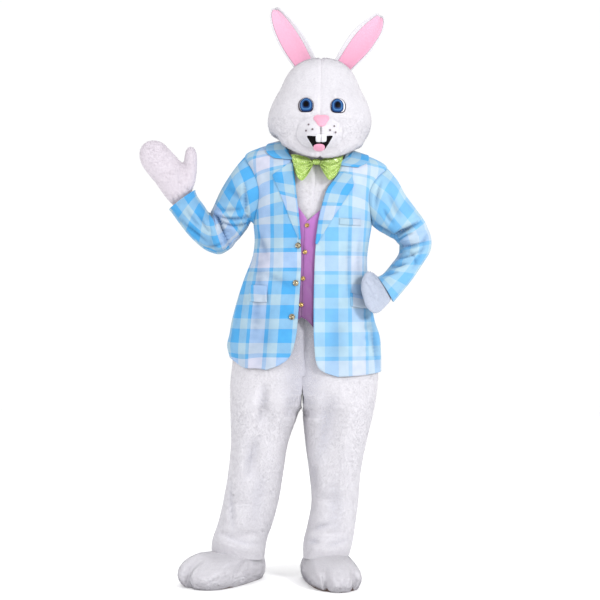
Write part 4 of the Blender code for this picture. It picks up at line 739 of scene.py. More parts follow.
def foot_ring(row, ankle, heading, wide, dips):
    """One ring: a rounded heel, a wider rounded toe with dips between its lobes."""
    height, heel, toe, heel_half, toe_half, dip, rise = row
    ahead = np.array((math.sin(heading), -math.cos(heading), 0.0))
    aside = np.array((math.cos(heading), math.sin(heading), 0.0))
    forward, sideways = np.cos(FOOT_TURNS), np.sin(FOOT_TURNS)
    half = heel_half + (toe_half - heel_half) * (forward + 1) / 2
    notch = sum(hill(FOOT_TURNS, spot, TOE_DIP_WIDTH) for spot in dips)
    reach = np.where(forward > 0, toe, heel) - dip * notch
    lift = height + rise * np.maximum(0.0, forward) ** 2
    if height < 0:
        lift = lift + SOLE_LIFT * hill(FOOT_TURNS, SOLE_SHOWS, SOLE_SHOWN)
    ring = (power(forward, FOOT_ROUNDING) * reach)[:, None] * ahead
    ring = ring + (power(sideways, FOOT_ROUNDING) * half * wide)[:, None] * aside
    return ring + np.array((*ankle, FLOOR_Z + SOLE_THICKNESS + SEAM_GAP)) + lift[:, None] * (0, 0, 1)


def foot_press(level, turn, dips):
    """Stuffing and stitching: toe valleys over the lobes, gathers at the heel, the spat's seam."""
    top = hill(level, 3.6, 1.5)
    valleys = sum(hill(turn, spot * (1.0 + 0.1 * level), 0.17) for spot in dips)
    heel = np.clip((np.abs(turn) - 1.3) / 0.5, 0.0, 1.0) * hill(level, 3.4, 2.0)
    spat = hill(np.abs(turn), 1.75, 0.035) * (level < 6.0)
    return -VALLEY_DEPTH * top * valleys + GATHER_DEPTH * heel * np.cos(turn * GATHERS) - SPAT_DEPTH * spat


def stuffed(grid, levels, side):
    """The outer toe filled out sideways and upwards."""
    if side not in OUTER_TOE:
        return grid
    centre, half, (aside, ahead, upward) = OUTER_TOE[side]
    bulge = hill(FOOT_TURNS, centre, half)[None, :, None]
    out, up = (np.interp(levels, range(len(row)), row)[:, None, None] for row in TOE_SHARES)
    return grid + bulge * (out * np.array((aside, ahead, 0.0)) + up * np.array((0.0, 0.0, upward)))


for side, ankle_x, ankle_y, degrees, wide in FEET:
    form, heading = suit_forms[side], math.radians(degrees)
    rings = [foot_ring(row, (ankle_x, ankle_y), heading, wide, TOE_DIPS[side]) for row in FOOT]
    for level in ANKLE_LEVELS:
        angle = FRONT + heading + FOOT_TURNS
        rings.append(form.point(level, angle) - form.normal(level, angle) * ANKLE_INSET)
    levels = np.linspace(0, len(rings) - 1, FOOT_ROWS)
    grid = blend(np.array(rings), levels)
    lean = ring_lean(grid, grid - grid.mean(axis=(0, 1)))
    lean[0, :, 2] = 0.0
    lean = unit(lean)
    press = foot_press(levels[:, None], FOOT_TURNS, TOE_DIPS[side])
    worked = stuffed(grid, levels, side) + lean * press[..., None]
    lean = ring_lean(worked, lean)
    piece = shell(f"{side}_foot", worked, lean, FOOT_WALL, WHITE_PLUSH, around=True)
    fuzz = pile(f"{side}_foot_pile", worked[:FOOT_PILE_ROWS], lean[:FOOT_PILE_ROWS], FOOT_PILE,
                length=0.0060, seed=14, around=True, grain=(0.0, -0.5, -0.5))
    sewn(piece, f"foot_{side}", grid, around=True)

SOLE_FELT = mottled("brown_sole_felt", 0.85, (300.0, 4.0), ((0.3, "3b2a24"), (0.75, "5a4238")),
                    (0.0006, 0.6))
for side in ("right", "left"):
    bpy.data.objects[f"sole_{side}"].material_slots[0].material = SOLE_FELT

# ----------------------------------------
# Vest: orchid satin, shaped to the waist, with a V neck, a pointed hem and no sleeves. The wearer's
# left side laps over the right at the front; four small gold shank buttons close it.
VEST_WALL = 0.0020
VEST_OPENING = 44.0
VEST_TIP = 13
VEST_HEM_Z, VEST_POINT, POINT_AT, POINT_WIDTH, HEM_SLANT = -0.525, 0.085, 0.16, 0.11, 0.02
VEST_LAP, LAP_WIDTH = 0.0016, 0.012
vest_form = Form(BODY).inset(BODY[:, 10])
VEST_EDGES = np.array((
    # in mm: z, right x, left x
    (-640, -63, -63), (-430, -55.5, -55.5), (-220, -47.5, -47.5), (-196, -39, -35), (-145, -73, 22),
    (-100, -92, 55), (-50, -103, 84), (0, -106, 100), (100, -106, 108))) / 1000
VEST_FOLDS = (
    (1, -85, -270, -60, -300, -45, -307, 8, -1.6), (1, -30, -330, -12, -360, 4, -420, 10, -1.8),
    (1, -48, -405, -30, -430, -8, -470, 9, -1.6), (1, -70, -430, -62, -470, -66, -540, 9, -1.8),
    (1, -35, -505, -15, -540, -5, -590, 10, -2), (-1, -120, -330, -30, -350, 80, -330, 16, -3),
    (-1, -100, -420, -40, -440, 60, -425, 16, -3))


def line_of(rows, column):
    """A smooth edge as x for each height."""
    dense = blend(rows[:, (0, column)], np.linspace(0, len(rows) - 1, 160))
    return lambda height: np.interp(height, dense[:, 0], dense[:, 1])


def vest_rows(levels, share):
    """Rows run from the pointed hem to the neck; those under the armhole close up on the hem."""
    point = hill(share, POINT_AT, POINT_WIDTH)
    height = VEST_HEM_Z - VEST_POINT * point + HEM_SLANT * share
    low = vest_form.level_at(height, np.full(share.shape, FRONT))
    part = ((levels - levels[0]) / (UNDERARM - levels[0]))[:, None]
    return np.where(part < 1.0, low + (UNDERARM - low) * part, levels[:, None])


satin = Finish("orchid_satin", 0.42, sheen_weight=0.15, sheen_roughness=0.4, anisotropic=0.4)
drawn_out = satin.node("Mapping", {"Vector": satin.place(), "Scale": (160.0, 160.0, 1800.0)})
threads = satin.noise(1.0, 1.0, where=drawn_out.outputs[0])
drift = satin.noise(9.0, 2.0)
# Painted shade: the satin's colour runs darker towards the bottom and lighter towards the top, by height.
height = satin.node("SeparateXYZ", {0: satin.place()}).outputs[2]
rise = satin.sum("MULTIPLY", satin.sum("ADD", height, 0.62), 1.6)
tone = satin.sum("ADD", satin.sum("MULTIPLY", threads, 0.1), satin.sum("MULTIPLY", drift, 0.25))
tone = satin.sum("ADD", tone, rise)
ORCHID = satin.done(satin.ramp(tone, ((0.25, "59305f"), (0.85, "9d5fa5"))), threads, 0.0003, 0.35)

vest_levels = stretches((2, UNDERARM, 50), (UNDERARM, VEST_TIP, 30), (VEST_TIP, NECK - 0.9, 14))


def vest_hole(level):
    return armhole(level, VEST_OPENING, UNDERARM, VEST_TIP)


vest_sides = {
    "right": (lambda t: vest_form.edge_angle(t, line_of(VEST_EDGES, 1)), lambda t: vest_hole(t) - RIGHT),
    "left": (lambda t: vest_form.edge_angle(t, line_of(VEST_EDGES, 2)), lambda t: LEFT - vest_hole(t))}
for side, (start, stop) in vest_sides.items():
    cut, lean = panel(vest_form, vest_levels, start, stop, columns=40, rows_at=vest_rows)
    worked = folded(cut, lean, VEST_FOLDS)
    lean = grid_lean(worked, lean)
    if side == "left":
        lap = VEST_LAP * hill(reach(worked, 1), 0.0, LAP_WIDTH)
        worked = worked + lean * lap[..., None]
    piece = shell(f"{side}_vest", worked, lean, VEST_WALL, ORCHID)
    sewn(piece, f"vest_{side}", cut)
cut, lean = panel(vest_form, vest_levels, lambda t: RIGHT - vest_hole(t), lambda t: LEFT + vest_hole(t),
                  columns=44)
worked = folded(cut, lean, VEST_FOLDS)
piece = shell("back_of_vest", worked, grid_lean(worked, lean), VEST_WALL, ORCHID)
sewn(piece, "vest_back", cut)


def turned(name, form, x, height, lift, profile, finish, node, slot, spokes=40):
    """A button turned from its profile of (radius, height) rows and set square to the cloth."""
    spot = form.front(x, height, lift)
    normal = unit(form.front(x, height, 0.01) - spot)
    profile = np.array(profile) / 1000
    aside = unit(np.cross(normal, (0.0, 0.0, 1.0)))
    upward = np.cross(aside, normal)
    turns = np.linspace(0, 2 * math.pi, spokes, endpoint=False)[None, :, None]
    ring = np.cos(turns) * aside + np.sin(turns) * upward
    grid = spot + profile[:, :1, None] * ring + profile[:, 1:, None] * normal
    rows = grid.reshape(-1, 3)
    faces = grid_faces(grid, around=True)
    first, second, _, last = rows[faces[0]]
    facing = np.dot(np.cross(second - first, last - first), normal)
    if facing * (profile[0, 0] - profile[1, 0]) < 0:
        faces = faces[:, ::-1]
    placed(meshed(name, rows, faces, finish), node)


def metal(name, dark, light, roughness):
    """Plated metal, darker and lighter in random patches."""
    return mottled(name, roughness, (260.0, 4.0), ((0.35, dark), (0.62, light)), (0.0002, 0.5), metallic=1.0)


# From the shank's foot round the rim to the middle of the face, as (radius, height) in mm.
SHANK_BUTTON = ((5.5, 0), (7.8, 0.8), (8, 3), (7.4, 4.2), (6.4, 4), (5.6, 3), (4.4, 2.7), (3.4, 3.2),
    (1.8, 4), (0.1, 4.2))
GOLD = metal("gold_plate", "5a4526", "c2a068", 0.30)
VEST_BUTTON_HEIGHTS = (-0.213, -0.307, -0.400, -0.492)
BUTTONS_X, BUTTONS_SLANT, BUTTONS_LIFT = -0.040, 0.075, 0.0008
for number, height in enumerate(VEST_BUTTON_HEIGHTS, 1):
    x = BUTTONS_X + BUTTONS_SLANT * (height - VEST_BUTTON_HEIGHTS[0])
    turned(f"gold_button_{number}", vest_form, x, height, BUTTONS_LIFT, SHANK_BUTTON, GOLD,
           f"vest_button_{number}", "gold_button")

# ----------------------------------------
# Jacket body: two fronts and two backs of plaid suiting, joined at the sides, shoulders and the
# centre back. The blue, white and grey plaid is woven, so the four pieces are cut to match. The
# wearer's left pieces are painted paler, as painted light.
JACKET_WALL = 0.0025
JACKET_OPENING = 33.0
body = Form(BODY)
EDGES = np.array((
    # in mm: z, right x, left x
    (-748, -262, 90), (-738, -240, 50), (-727, -207, 18), (-718, -180, 6), (-710, -155, -1),
    (-700, -134, -5), (-686, -113, -9), (-664, -97, -12), (-630, -86, -14), (-583, -77, -16),
    (-493, -70, -16), (-398, -64, -14), (-300, -62, -10), (-200, -70, 2), (-145, -75, 14), (-90, -82, 31),
    (-50, -86, 56), (-10, -90, 77), (30, -100, 94), (55, -106, 104), (100, -109, 112))) / 1000
JACKET_FOLDS = (
    # side, then in mm: start x and z, bend x and z, stop x and z, half width, depth
    (1, -208, -251, -213, -475, -233, -657, 16, -6), (1, -289, -475, -303, -580, -313, -657, 18, 4),
    (1, -93, -423, -149, -402, -198, -374, 11, -5), (1, -226, -223, -198, -265, -177, -342, 11, -5.5),
    (1, -254, -42, -243, -126, -229, -216, 10, -5.5), (1, -170, -475, -184, -598, -198, -713, 25, -3),
    (1, 190, -230, 166, -440, 176, -727, 16, -7), (1, 187, -517, 201, -633, 215, -727, 12, -7),
    (1, 114, -216, 107, -342, 110, -475, 12, -4.5), (1, 229, -91, 204, -143, 187, -216, 10, -5.5),
    (1, 68, -475, 65, -615, 68, -748, 29, -3), (1, 152, -237, 138, -342, 152, -440, 12, -5),
    (-1, -200, -150, -150, -300, -160, -460, 18, -5), (-1, 170, -150, 110, -300, 120, -460, 18, -5),
    (-1, -170, -300, -60, -345, 110, -300, 16, -3.5), (-1, -190, -460, -210, -580, -230, -700, 22, -5),
    (-1, 80, -470, 100, -590, 130, -700, 22, -5), (-1, -60, -400, -80, -540, -70, -690, 20, -3.5))
# Stripes across the cloth, in millimetres: wide blue, pale grey, narrow blue and pinkish white.
SETT = ((48, "wide"), (37, "pale"), (14, "narrow"), (54, "white"), (14, "narrow"), (32, "pale"),
        (48, "wide"), (37, "pale"), (48, "wide"), (37, "pale"))
SETT_WIDTH = sum(width for width, _ in SETT) / 1000
YARNS = {"wide": "4696cb", "pale": "99b2c0", "narrow": "5296c4", "white": "b9b9c8"}
# Painted light: the pale tint that the wearer's left pieces are mixed toward.
PAINTED_LIGHT_TINT = "aecdda"
BLUE_HEIGHTS = {"right": -0.5765, "left": -0.5885}
# Where the first wide blue warp stripe starts on each front, as x at chest height, which way is
# outward, and how far it runs outward for each metre below BLUE_TURNS_AT.
BLUE_STARTS = {"right": (-0.075, -1.0, 0.075), "left": (0.0225, 1.0, 0.0)}
BLUE_TURNS_AT = -0.36
# The right front's hem sags between its rounded corner and the side seam.
HEM_SAGS_AT, HEM_SAG, HEM_SAG_WIDTH, HEM_SAG_FADE = -0.262, 0.014, 0.035, 0.03
# Where the checks start at the centre back.
BACK_START = -0.025


def plaid(name, painted_light=0.0):
    """Plain-woven checks: warp stripes along the cloth, the same stripes across it, a fine weave and a
    slightly faded, uneven dye. The second argument is how far the colours are mixed toward a pale tint,
    as painted light; the folds get painted shade."""
    made = Finish(name, 0.82, sheen_weight=0.05, sheen_roughness=0.5, specular_ior_level=0.2)
    stripes = []
    for way in made.cloth():
        share = made.sum("FRACT", made.sum("DIVIDE", way, SETT_WIDTH))
        stops, start = [], 0.0
        for width, yarn in SETT:
            stops.append((start / 1000 / SETT_WIDTH, YARNS[yarn]))
            start += width
        stripes.append(made.ramp(share, stops, "CONSTANT"))
    across, along = made.cloth()
    ribs = [made.sum("SINE", made.sum("MULTIPLY", way, 2 * math.pi / 0.0016)) for way in (across, along)]
    weave = made.sum("MULTIPLY", ribs[0], ribs[1])
    over = made.sum("ADD", made.sum("MULTIPLY", weave, 0.10), 0.5)
    cloth = made.mix(over, stripes[0], stripes[1])
    faded = made.ramp(made.noise(22.0, 3.0), ((0.30, "e9eef2"), (0.72, "ffffff")))
    cloth = made.mix(painted_light, made.mix(1.0, cloth, faded, "MULTIPLY"), shade(PAINTED_LIGHT_TINT))
    # Painted shade: down in the folds the checks are mixed toward a dark blue.
    return made.done(made.painted_fold_shade(cloth, "1d4f80", 0.85), weave, 0.00025, 0.5)


# Painted light: the wearer's left pieces are mixed a fifth of the way toward the pale tint.
PLAID = {"right": plaid("blue_plaid_suiting"), "left": plaid("blue_plaid_brushed", 0.20)}


def body_cloth(grid, levels, side, across_from):
    """Cloth map of a body panel: threads run straight down, and the checks match at the fronts."""
    along = reach(grid, 0)
    under = int(np.searchsorted(levels, UNDERARM))
    height = np.where((levels >= UNDERARM)[:, None], grid[under, :, 2] + along - along[under], grid[..., 2])
    return np.stack((reach(grid, 1) + across_from, BLUE_HEIGHTS[side] - height), axis=-1)


jacket_levels = stretches((HEM, UNDERARM, 72), (UNDERARM, TIP, 42), (TIP, NECK, 16))
jacket_fronts = {}


def jacket_hole(level):
    return armhole(level, JACKET_OPENING)


for number, side in enumerate(("right", "left"), 1):
    edge = line_of(EDGES, number)
    mark, outward, flare = BLUE_STARTS[side]
    side_seam, inward = (-RIGHT, 1.0) if side == "right" else (LEFT, -1.0)
    limits = {
        "front": (1, lambda t: body.edge_angle(t, edge), lambda t: side_seam + inward * jacket_hole(t)),
        "back": (-1, lambda t: BACK, lambda t: -side_seam - inward * jacket_hole(t))}
    for face, (way, start, stop) in limits.items():
        cut, lean = panel(body, jacket_levels, lambda t: start(t) + 0 * t, stop, columns=50)
        worked = folded(cut, lean, [row for row in JACKET_FOLDS if row[0] == way])
        lean = grid_lean(worked, lean)
        worked = sunk(worked, lean, "r" if face == "front" else "lr", depth=0.0012, width=0.004)
        if side == "right" and face == "front":
            low = hill(cut[..., 0], HEM_SAGS_AT, HEM_SAG_WIDTH)
            low = low * np.exp((cut[:1, :, 2] - cut[..., 2]) / HEM_SAG_FADE)
            worked = worked - (HEM_SAG * low)[..., None] * (0.0, 0.0, 1.0)
        lean_out = flare * np.maximum(0.0, BLUE_TURNS_AT - cut[:, :1, 2])
        begin = outward * (cut[:, :1, 0] - mark) - lean_out if face == "front" else BACK_START
        cloth_map = body_cloth(cut, jacket_levels, side, begin)
        piece = shell(f"{side}_jacket_{face}", worked, lean, JACKET_WALL, PLAID[side],
                      fibre=cloth_map, hollow=fold_shade_share(cut, worked, lean))
        sewn(piece, f"jacket_{face}_{side}", cut)
        if face == "front":
            jacket_fronts[side] = (cut, cloth_map)

# ----------------------------------------
# Jacket sleeves: two-piece sleeves, upper and under, with the seams at the front and back of the
# arm. Both arms are bent, so the cloth breaks into sharp folds inside the elbows.
JACKET_SLEEVE_ROWS = 142
CUFF_FLARE, CUFF_FADE = 0.0050, 0.05
# Folds go round to the back of the arm at this share of their depth.
BEHIND = 0.8
SLEEVE_SEAMS = (LOOP_STEPS // 6, LOOP_STEPS * 3 // 2)
SET_IN = -0.0012
# The jacket sleeves' softer presses: station, turn in degrees, half length, half turn, depth.
SLEEVE_PRESSES = (
    (2.2, 60, 0.50, 60, -0.006), (3.4, 50, 0.35, 50, -0.008), (4.4, 120, 0.35, 50, -0.006),
    (5.6, 70, 0.40, 60, -0.006), (3.0, 270, 0.50, 60, -0.006), (4.6, 300, 0.40, 50, -0.006))
SLEEVE_FOLDS = {
    # in mm: start x and z, bend x and z, stop x and z, half width, depth
    "right": (
        (-390, -156, -352, -190, -310, -290, 7.5, -21), (-352, -226, -338, -255, -324, -290, 5, -8),
        (-372, -165, -325, -197, -241, -178, 6, -12), (-362, -177, -312, -238, -241, -196, 6, -11),
        (-241, -200, -262, -232, -306, -280, 6, -9), (-374, -150, -315, -160, -255, -150, 8, -7),
        (-350, -170, -300, -186, -250, -166, 7, 6), (-355, -205, -310, -226, -262, -206, 6, 6),
        (-404, -190, -372, -245, -348, -300, 10, 6), (-505, -180, -435, -240, -392, -274, 7, -7),
        (-425, -170, -400, -215, -368, -250, 7, -7), (-470, -150, -445, -195, -405, -225, 7, -5),
        (-400, -285, -365, -290, -330, -268, 6, -7), (-328, -70, -290, -110, -246, -130, 12, -6),
        (-262, -40, -256, -110, -258, -200, 6, -8)),
    "left": (
        (262, -252, 310, -230, 366, -192, 6.5, -17), (266, -268, 306, -250, 340, -236, 5.5, -10),
        (300, -214, 340, -196, 380, -170, 7, 6), (194, -203, 229, -224, 270, -242, 6, -10),
        (280, -275, 338, -298, 390, -256, 6, -10), (300, -262, 350, -262, 395, -222, 6, 5),
        (262, -326, 318, -326, 372, -292, 6, -10), (258, -344, 296, -340, 330, -322, 6, 5),
        (250, -360, 277, -355, 316, -342, 6, -9), (222, -392, 252, -378, 290, -372, 6, -7),
        (320, -300, 350, -318, 352, -352, 6, -6), (226, -50, 206, -100, 203, -150, 6, -8),
        (232, -150, 240, -182, 275, -206, 7, -6), (250, -95, 268, -140, 300, -185, 12, -5),
        (391, -233, 382, -297, 334, -370, 10, -6))}
# A spot on each sleeve where a wide blue stripe crosses another: x and z.
SLEEVE_BLUE = {"right": (-0.314, -0.083), "left": (0.318, -0.150)}


def sleeve_pressed(grid, lean, stations):
    """The sleeve with its softer presses pushed in."""
    level = np.linspace(0.0, len(stations), len(grid))[:, None]
    turn = np.linspace(0.0, 360.0, grid.shape[1], endpoint=False)
    push = 0.0
    for station, centre, long, half_turn, depth in SLEEVE_PRESSES:
        apart = (turn - centre + 180.0) % 360.0 - 180.0
        push = push + depth * np.exp(-((level - station) / long) ** 2 - (apart / half_turn) ** 2)
    return grid + lean * push[..., None]


def matched(grid, spot):
    """Cloth map of a sleeve: lengths down the arm and round it, placed by its blue crossing."""
    around = reach(grid, 1)
    facing = int(0.38 * grid.shape[1])
    across = around - around[:, facing:facing + 1]
    down = np.broadcast_to(reach(grid, 0).mean(axis=1, keepdims=True), across.shape)
    flat = np.linalg.norm(grid[..., (0, 2)] - spot, axis=-1) + 1.0 * (grid[..., 1] > grid[..., 1].mean())
    row, column = np.unravel_index(np.argmin(flat), flat.shape)
    half_stripe = SETT[0][0] / 2000
    return np.stack((across - across[row, column] + half_stripe,
                     down - down[row, column] + half_stripe), axis=-1)


for side, stations in arms.items():
    loop = sleeve_loop(body, UNDERARM, TIP, JACKET_OPENING, side, SET_IN)
    grid, lean = sleeve_rings(loop, stations, 0.0, JACKET_SLEEVE_ROWS)
    pressed = sleeve_pressed(grid, lean, stations)
    if side == "right":
        end = np.exp((np.linspace(0.0, 1.0, len(grid)) - 1.0) / CUFF_FADE)[:, None, None]
        pressed = pressed + lean * CUFF_FLARE * end
    lean = ring_lean(pressed, lean)
    folds = [(way, *row[:-1], row[-1] * share) for row in SLEEVE_FOLDS[side]
             for way, share in ((1, 1), (-1, BEHIND))]
    count = grid.shape[1]
    first, second = SLEEVE_SEAMS
    for part, start, stop in (("upper", first, second), ("under", second, first + count)):
        picked = np.arange(start, stop + 1) % count
        cut, part_lean = pressed[:, picked], lean[:, picked]
        worked = folded(cut, part_lean, folds)
        part_lean = grid_lean(worked, part_lean)
        worked = sunk(worked, part_lean, "lrb", depth=0.0012, width=0.004)
        cloth_map = matched(grid[:, picked] if part == "upper" else cut, SLEEVE_BLUE[side])
        piece = shell(f"{side}_{part}_sleeve", worked, part_lean, JACKET_WALL, PLAID[side], fibre=cloth_map,
                      hollow=fold_shade_share(cut, worked, part_lean))
        sewn(piece, f"sleeve_{part}_{side}", cut)

# ----------------------------------------
# Lapels and collar: notched lapels turned back from the fronts, and a collar turned down round the
# neck. Both are the same plaid, faced and pressed, so they swell softly at the fold.
LAPEL_RISE = 0.0042
LAPEL_ROWS, LAPEL_COLUMNS, FOLD_TURNS = 64, 20, 9
TRIM_WALL = 0.0016
LAPELS = {
    # in mm: inner x, inner z, outer x, outer z, from the bottom point to the notch
    "right": ((-65, -262, -68, -264), (-70, -200, -98, -195), (-75, -145, -122, -132),
        (-82, -90, -145, -75), (-86, -50, -160, -40), (-89, -26, -154, -28), (-91, -6, -126, -10),
        (-92.5, 6, -108, 4)),
    "left": ((-8, -278, -5, -280), (2.5, -200, 42, -200), (14.5, -145, 78, -145), (31.5, -90, 107, -100),
        (50, -62, 123, -70), (76, -26, 116, -32))}
LAPEL_STRIPES = {"right": (0.010, 0.0), "left": (0.020, 0.012)}


def turned_back(spots, leans, least, rise, fold_reach=1.0):
    """Cloth turned back over itself, with its normals: it lies flat at its outer edge, swells to
    the fold and goes round it. spots run from the outer edge to the fold."""
    share = np.linspace(0.0, 1.0, spots.shape[1])
    lift = least + TRIM_WALL + (rise - TRIM_WALL) * share ** 2 * (3 - 2 * share)
    laid = spots + leans * lift[None, :, None]
    radius = (rise + least) / 2
    toward = unit(spots[:, -1] - spots[:, -2])[:, None]
    turn = np.linspace(0.0, math.pi * fold_reach, FOLD_TURNS)[1:, None]
    over = spots[:, -1:] + toward * radius * np.sin(turn) + leans[:, -1:] * radius * (1 + np.cos(turn))
    grid = np.concatenate((laid, over), axis=1)
    return grid, grid_lean(grid, np.concatenate((leans, np.repeat(leans[:, -1:], len(turn), axis=1)), axis=1))


LAPEL_CLOTH = plaid("blue_plaid_lapel")
for side, rows in LAPELS.items():
    edge = blend(np.array(rows) / 1000, np.linspace(0, len(rows) - 1, LAPEL_ROWS))
    share = np.linspace(1.0, 0.0, LAPEL_COLUMNS)[:, None]
    flat = edge[:, None, :2] * (1 - share) + edge[:, None, 2:] * share
    spots = body.front(flat[..., 0], flat[..., 1])
    leans = unit(body.front(flat[..., 0], flat[..., 1], 0.01) - spots)
    grid, lean = turned_back(spots, leans, LAID_GAP, LAPEL_RISE)
    shift_u, shift_v = LAPEL_STRIPES[side]
    cloth_map = np.stack((reach(grid, 1) - reach(grid, 1)[:, -1:] + shift_u,
                          reach(grid, 0).mean(axis=1)[:, None] + np.zeros(grid.shape[:2]) + shift_v), axis=-1)
    piece = shell(f"{side}_lapel", grid, lean, TRIM_WALL, LAPEL_CLOTH, fibre=cloth_map)
    sewn(piece, f"lapel_{side}", grid)

COLLAR = np.array((
    # inner level, inner angle, outer level, outer angle, rise
    (12.35, -107, 12.20, -124, 0.0020), (13.30, -122, 12.40, -142, 0.0020),
    (14.20, -142, 12.75, -163, 0.0015), (15.00, -180, 13.00, -180, 0.0028),
    (15.00, -210, 13.00, -210, 0.0000), (15.00, -240, 13.00, -240, 0.0000),
    (15.00, -270, 13.00, -270, 0.0000), (15.00, -300, 13.00, -300, 0.0000),
    (15.00, -330, 13.00, -330, 0.0000), (15.00, -360, 13.00, -360, 0.0018),
    (14.20, -400, 12.75, -377, 0.0015), (13.20, -422, 12.30, -398, 0.0020),
    (12.10, -438, 11.90, -418, 0.0020)))
COLLAR_RISE, COLLAR_TAPER, COLLAR_SHIFT = 0.0032, 0.42, 0.020
COLLAR_ROWS, COLLAR_COLUMNS = 110, 18
rows = blend(COLLAR, np.linspace(0, len(COLLAR) - 1, COLLAR_ROWS))
share = np.linspace(1.0, 0.0, COLLAR_COLUMNS)
leaf = 1.0 - COLLAR_TAPER * np.sin(np.linspace(0.0, math.pi, len(rows))) ** 0.5
levels = rows[:, None, 0] + (rows[:, None, 2] - rows[:, None, 0]) * share * leaf[:, None]
angles = np.radians(rows[:, None, 1] + (rows[:, None, 3] - rows[:, None, 1]) * share * leaf[:, None])
leans = body.normal(levels, angles)
spots = body.point(levels, angles) + leans * rows[:, None, 4:5]
grid, lean = turned_back(spots, leans, SEAM_GAP + JACKET_WALL - TRIM_WALL, COLLAR_RISE, fold_reach=0.8)
cloth_map = np.stack((reach(grid, 0).mean(axis=1)[:, None] + np.zeros(grid.shape[:2]),
                      reach(grid, 1) + COLLAR_SHIFT), axis=-1)
piece = shell("jacket_collar", grid, lean, TRIM_WALL, LAPEL_CLOTH, fibre=cloth_map)
sewn(piece, "collar", grid)

# ----------------------------------------
# Pockets: a slanted welt at the wearer's left breast and a flap at each hip, of the same plaid,
# doubled and turned in, so their edges are soft. The left flap is lifted by the mitt behind it.
FLAP_RISE, FLAP_SEAT, FLAP_FULL = 0.022, 0.0004, 0.0022
FLAP_ROWS, FLAP_COLUMNS = 22, 30


def flap_lift(x, height):
    """The left flap is held off the jacket by the fingers of the mitt."""
    outward = np.maximum(0.0, (x - 0.110) / 0.060)
    downward = np.maximum(0.0, (-0.450 - height) / 0.050)
    return FLAP_RISE * outward * downward - FLAP_SEAT


def flap_curl(x, height):
    """The right flap's front end curls off the jacket."""
    low = np.clip((-0.440 - height) / 0.03, 0.0, 1.0)
    return 0.0003 + 0.0070 * hill(x, -0.180, 0.010) * low


# Corners as x and z: the top edge's two ends, then the lower edge's two ends under them; then the
# lift. The checks match the front under the middle of each.
POCKETS = (
    ("breast_welt", "left", (0.073, -0.189), (0.150, -0.191), (0.073, -0.210), (0.150, -0.213),
     lambda x, height: 0.0014),
    ("pocket_flap_right", "right", (-0.181, -0.426), (-0.245, -0.422), (-0.179, -0.484), (-0.243, -0.480),
     flap_curl),
    ("pocket_flap_left", "left", (0.112, -0.450), (0.166, -0.464), (0.112, -0.496), (0.166, -0.508),
     flap_lift))
for node, side, top_a, top_b, low_a, low_b, lift in POCKETS:
    across = np.linspace(0.0, 1.0, FLAP_COLUMNS)[None, :, None]
    down = np.linspace(0.0, 1.0, FLAP_ROWS)[:, None, None]
    flat = ((1 - down) * ((1 - across) * np.array(top_a) + across * np.array(top_b))
            + down * ((1 - across) * np.array(low_a) + across * np.array(low_b)))
    rim = (1 - (2 * across - 1) ** 8) * (1 - down ** 8)
    height = lift(flat[..., 0], flat[..., 1]) + TRIM_WALL + FLAP_FULL * rim[..., 0]
    grid = body.front(flat[..., 0], flat[..., 1], height)
    lean = grid_lean(grid, unit(body.front(flat[..., 0], flat[..., 1], height + 0.01) - grid))
    front_grid, front_map = jacket_fronts[side]
    middle = (FLAP_ROWS // 2, FLAP_COLUMNS // 2)
    stripe = front_map.reshape(-1, 2)[np.argmin(np.linalg.norm(front_grid - grid[middle], axis=-1))]
    across, down = reach(grid, 1), reach(grid, 0)
    cloth_map = np.stack((across - across[middle] + stripe[0], down - down[middle] + stripe[1]), axis=-1)
    piece = shell(f"{node}_cloth", grid, lean, TRIM_WALL, LAPEL_CLOTH, fibre=cloth_map)
    sewn(piece, node, grid)

# ----------------------------------------
# Jacket buttons: three dark antique brass buttons with a raised rim and a dished face, sewn down
# the right front; there are no cuff buttons.
COAT_BUTTON = ((7, 0), (10, 0.8), (10.5, 2.6), (9.8, 4.4), (8.6, 4.6), (7.7, 3.4), (6.4, 2.6), (4.6, 2.7),
    (3.6, 3.6), (2, 4), (0.1, 4.1))
BRASS = metal("antique_brass", "3b332b", "b5a98f", 0.32)
COAT_BUTTONS = (
    # x, height, lift
    (-0.071, -0.284, 0.0007), (-0.080, -0.416, 0.0007), (-0.093, -0.534, 0.0002))
for number, (x, height, lift) in enumerate(COAT_BUTTONS, 1):
    turned(f"brass_button_{number}", body, x, height, lift, COAT_BUTTON, BRASS, f"jacket_button_{number}",
           "dark_brass_button")

# ----------------------------------------
# Bow tie: a ready-tied bow of lime satin covered in small flat sequins. Each wing is a folded loop
# gathered into deep pleats at the knot, which is a band wrapped round the middle.
WINGS = {
    # in mm: x, bottom z and top z from the knot outward
    "right": ((-20, -1, 14), (-38, -34, 26), (-58, -56, 33), (-75, -44, 37), (-87, -14, 36)),
    "left": ((6, -1, 14), (22, -32, 24), (40, -54, 31), (63, -38, 35), (80, -8, 35))}
WING_DEPTH, WING_LIFT, WING_BULGE = 0.009, 0.0215, 0.007
KNOT, KNOT_HALF, KNOT_LIFT = (-0.007, 0.012), (0.0160, 0.0120, 0.0100), 0.0215
WING_TURNS, WING_PLACES, WING_FRONT_ROWS = 61, 49, 29
PLEAT_DEPTH, PLEATS, PLEAT_START = 0.0055, 7, 0.6
SATIN_WALL = 0.0015
SEQUIN_RADIUS = 0.0023


def chest(x, height, lift):
    """A spot this far in front of the suit's chest."""
    spot = suit_forms["right"].front(x, height)
    spot[..., 1] -= lift
    return spot


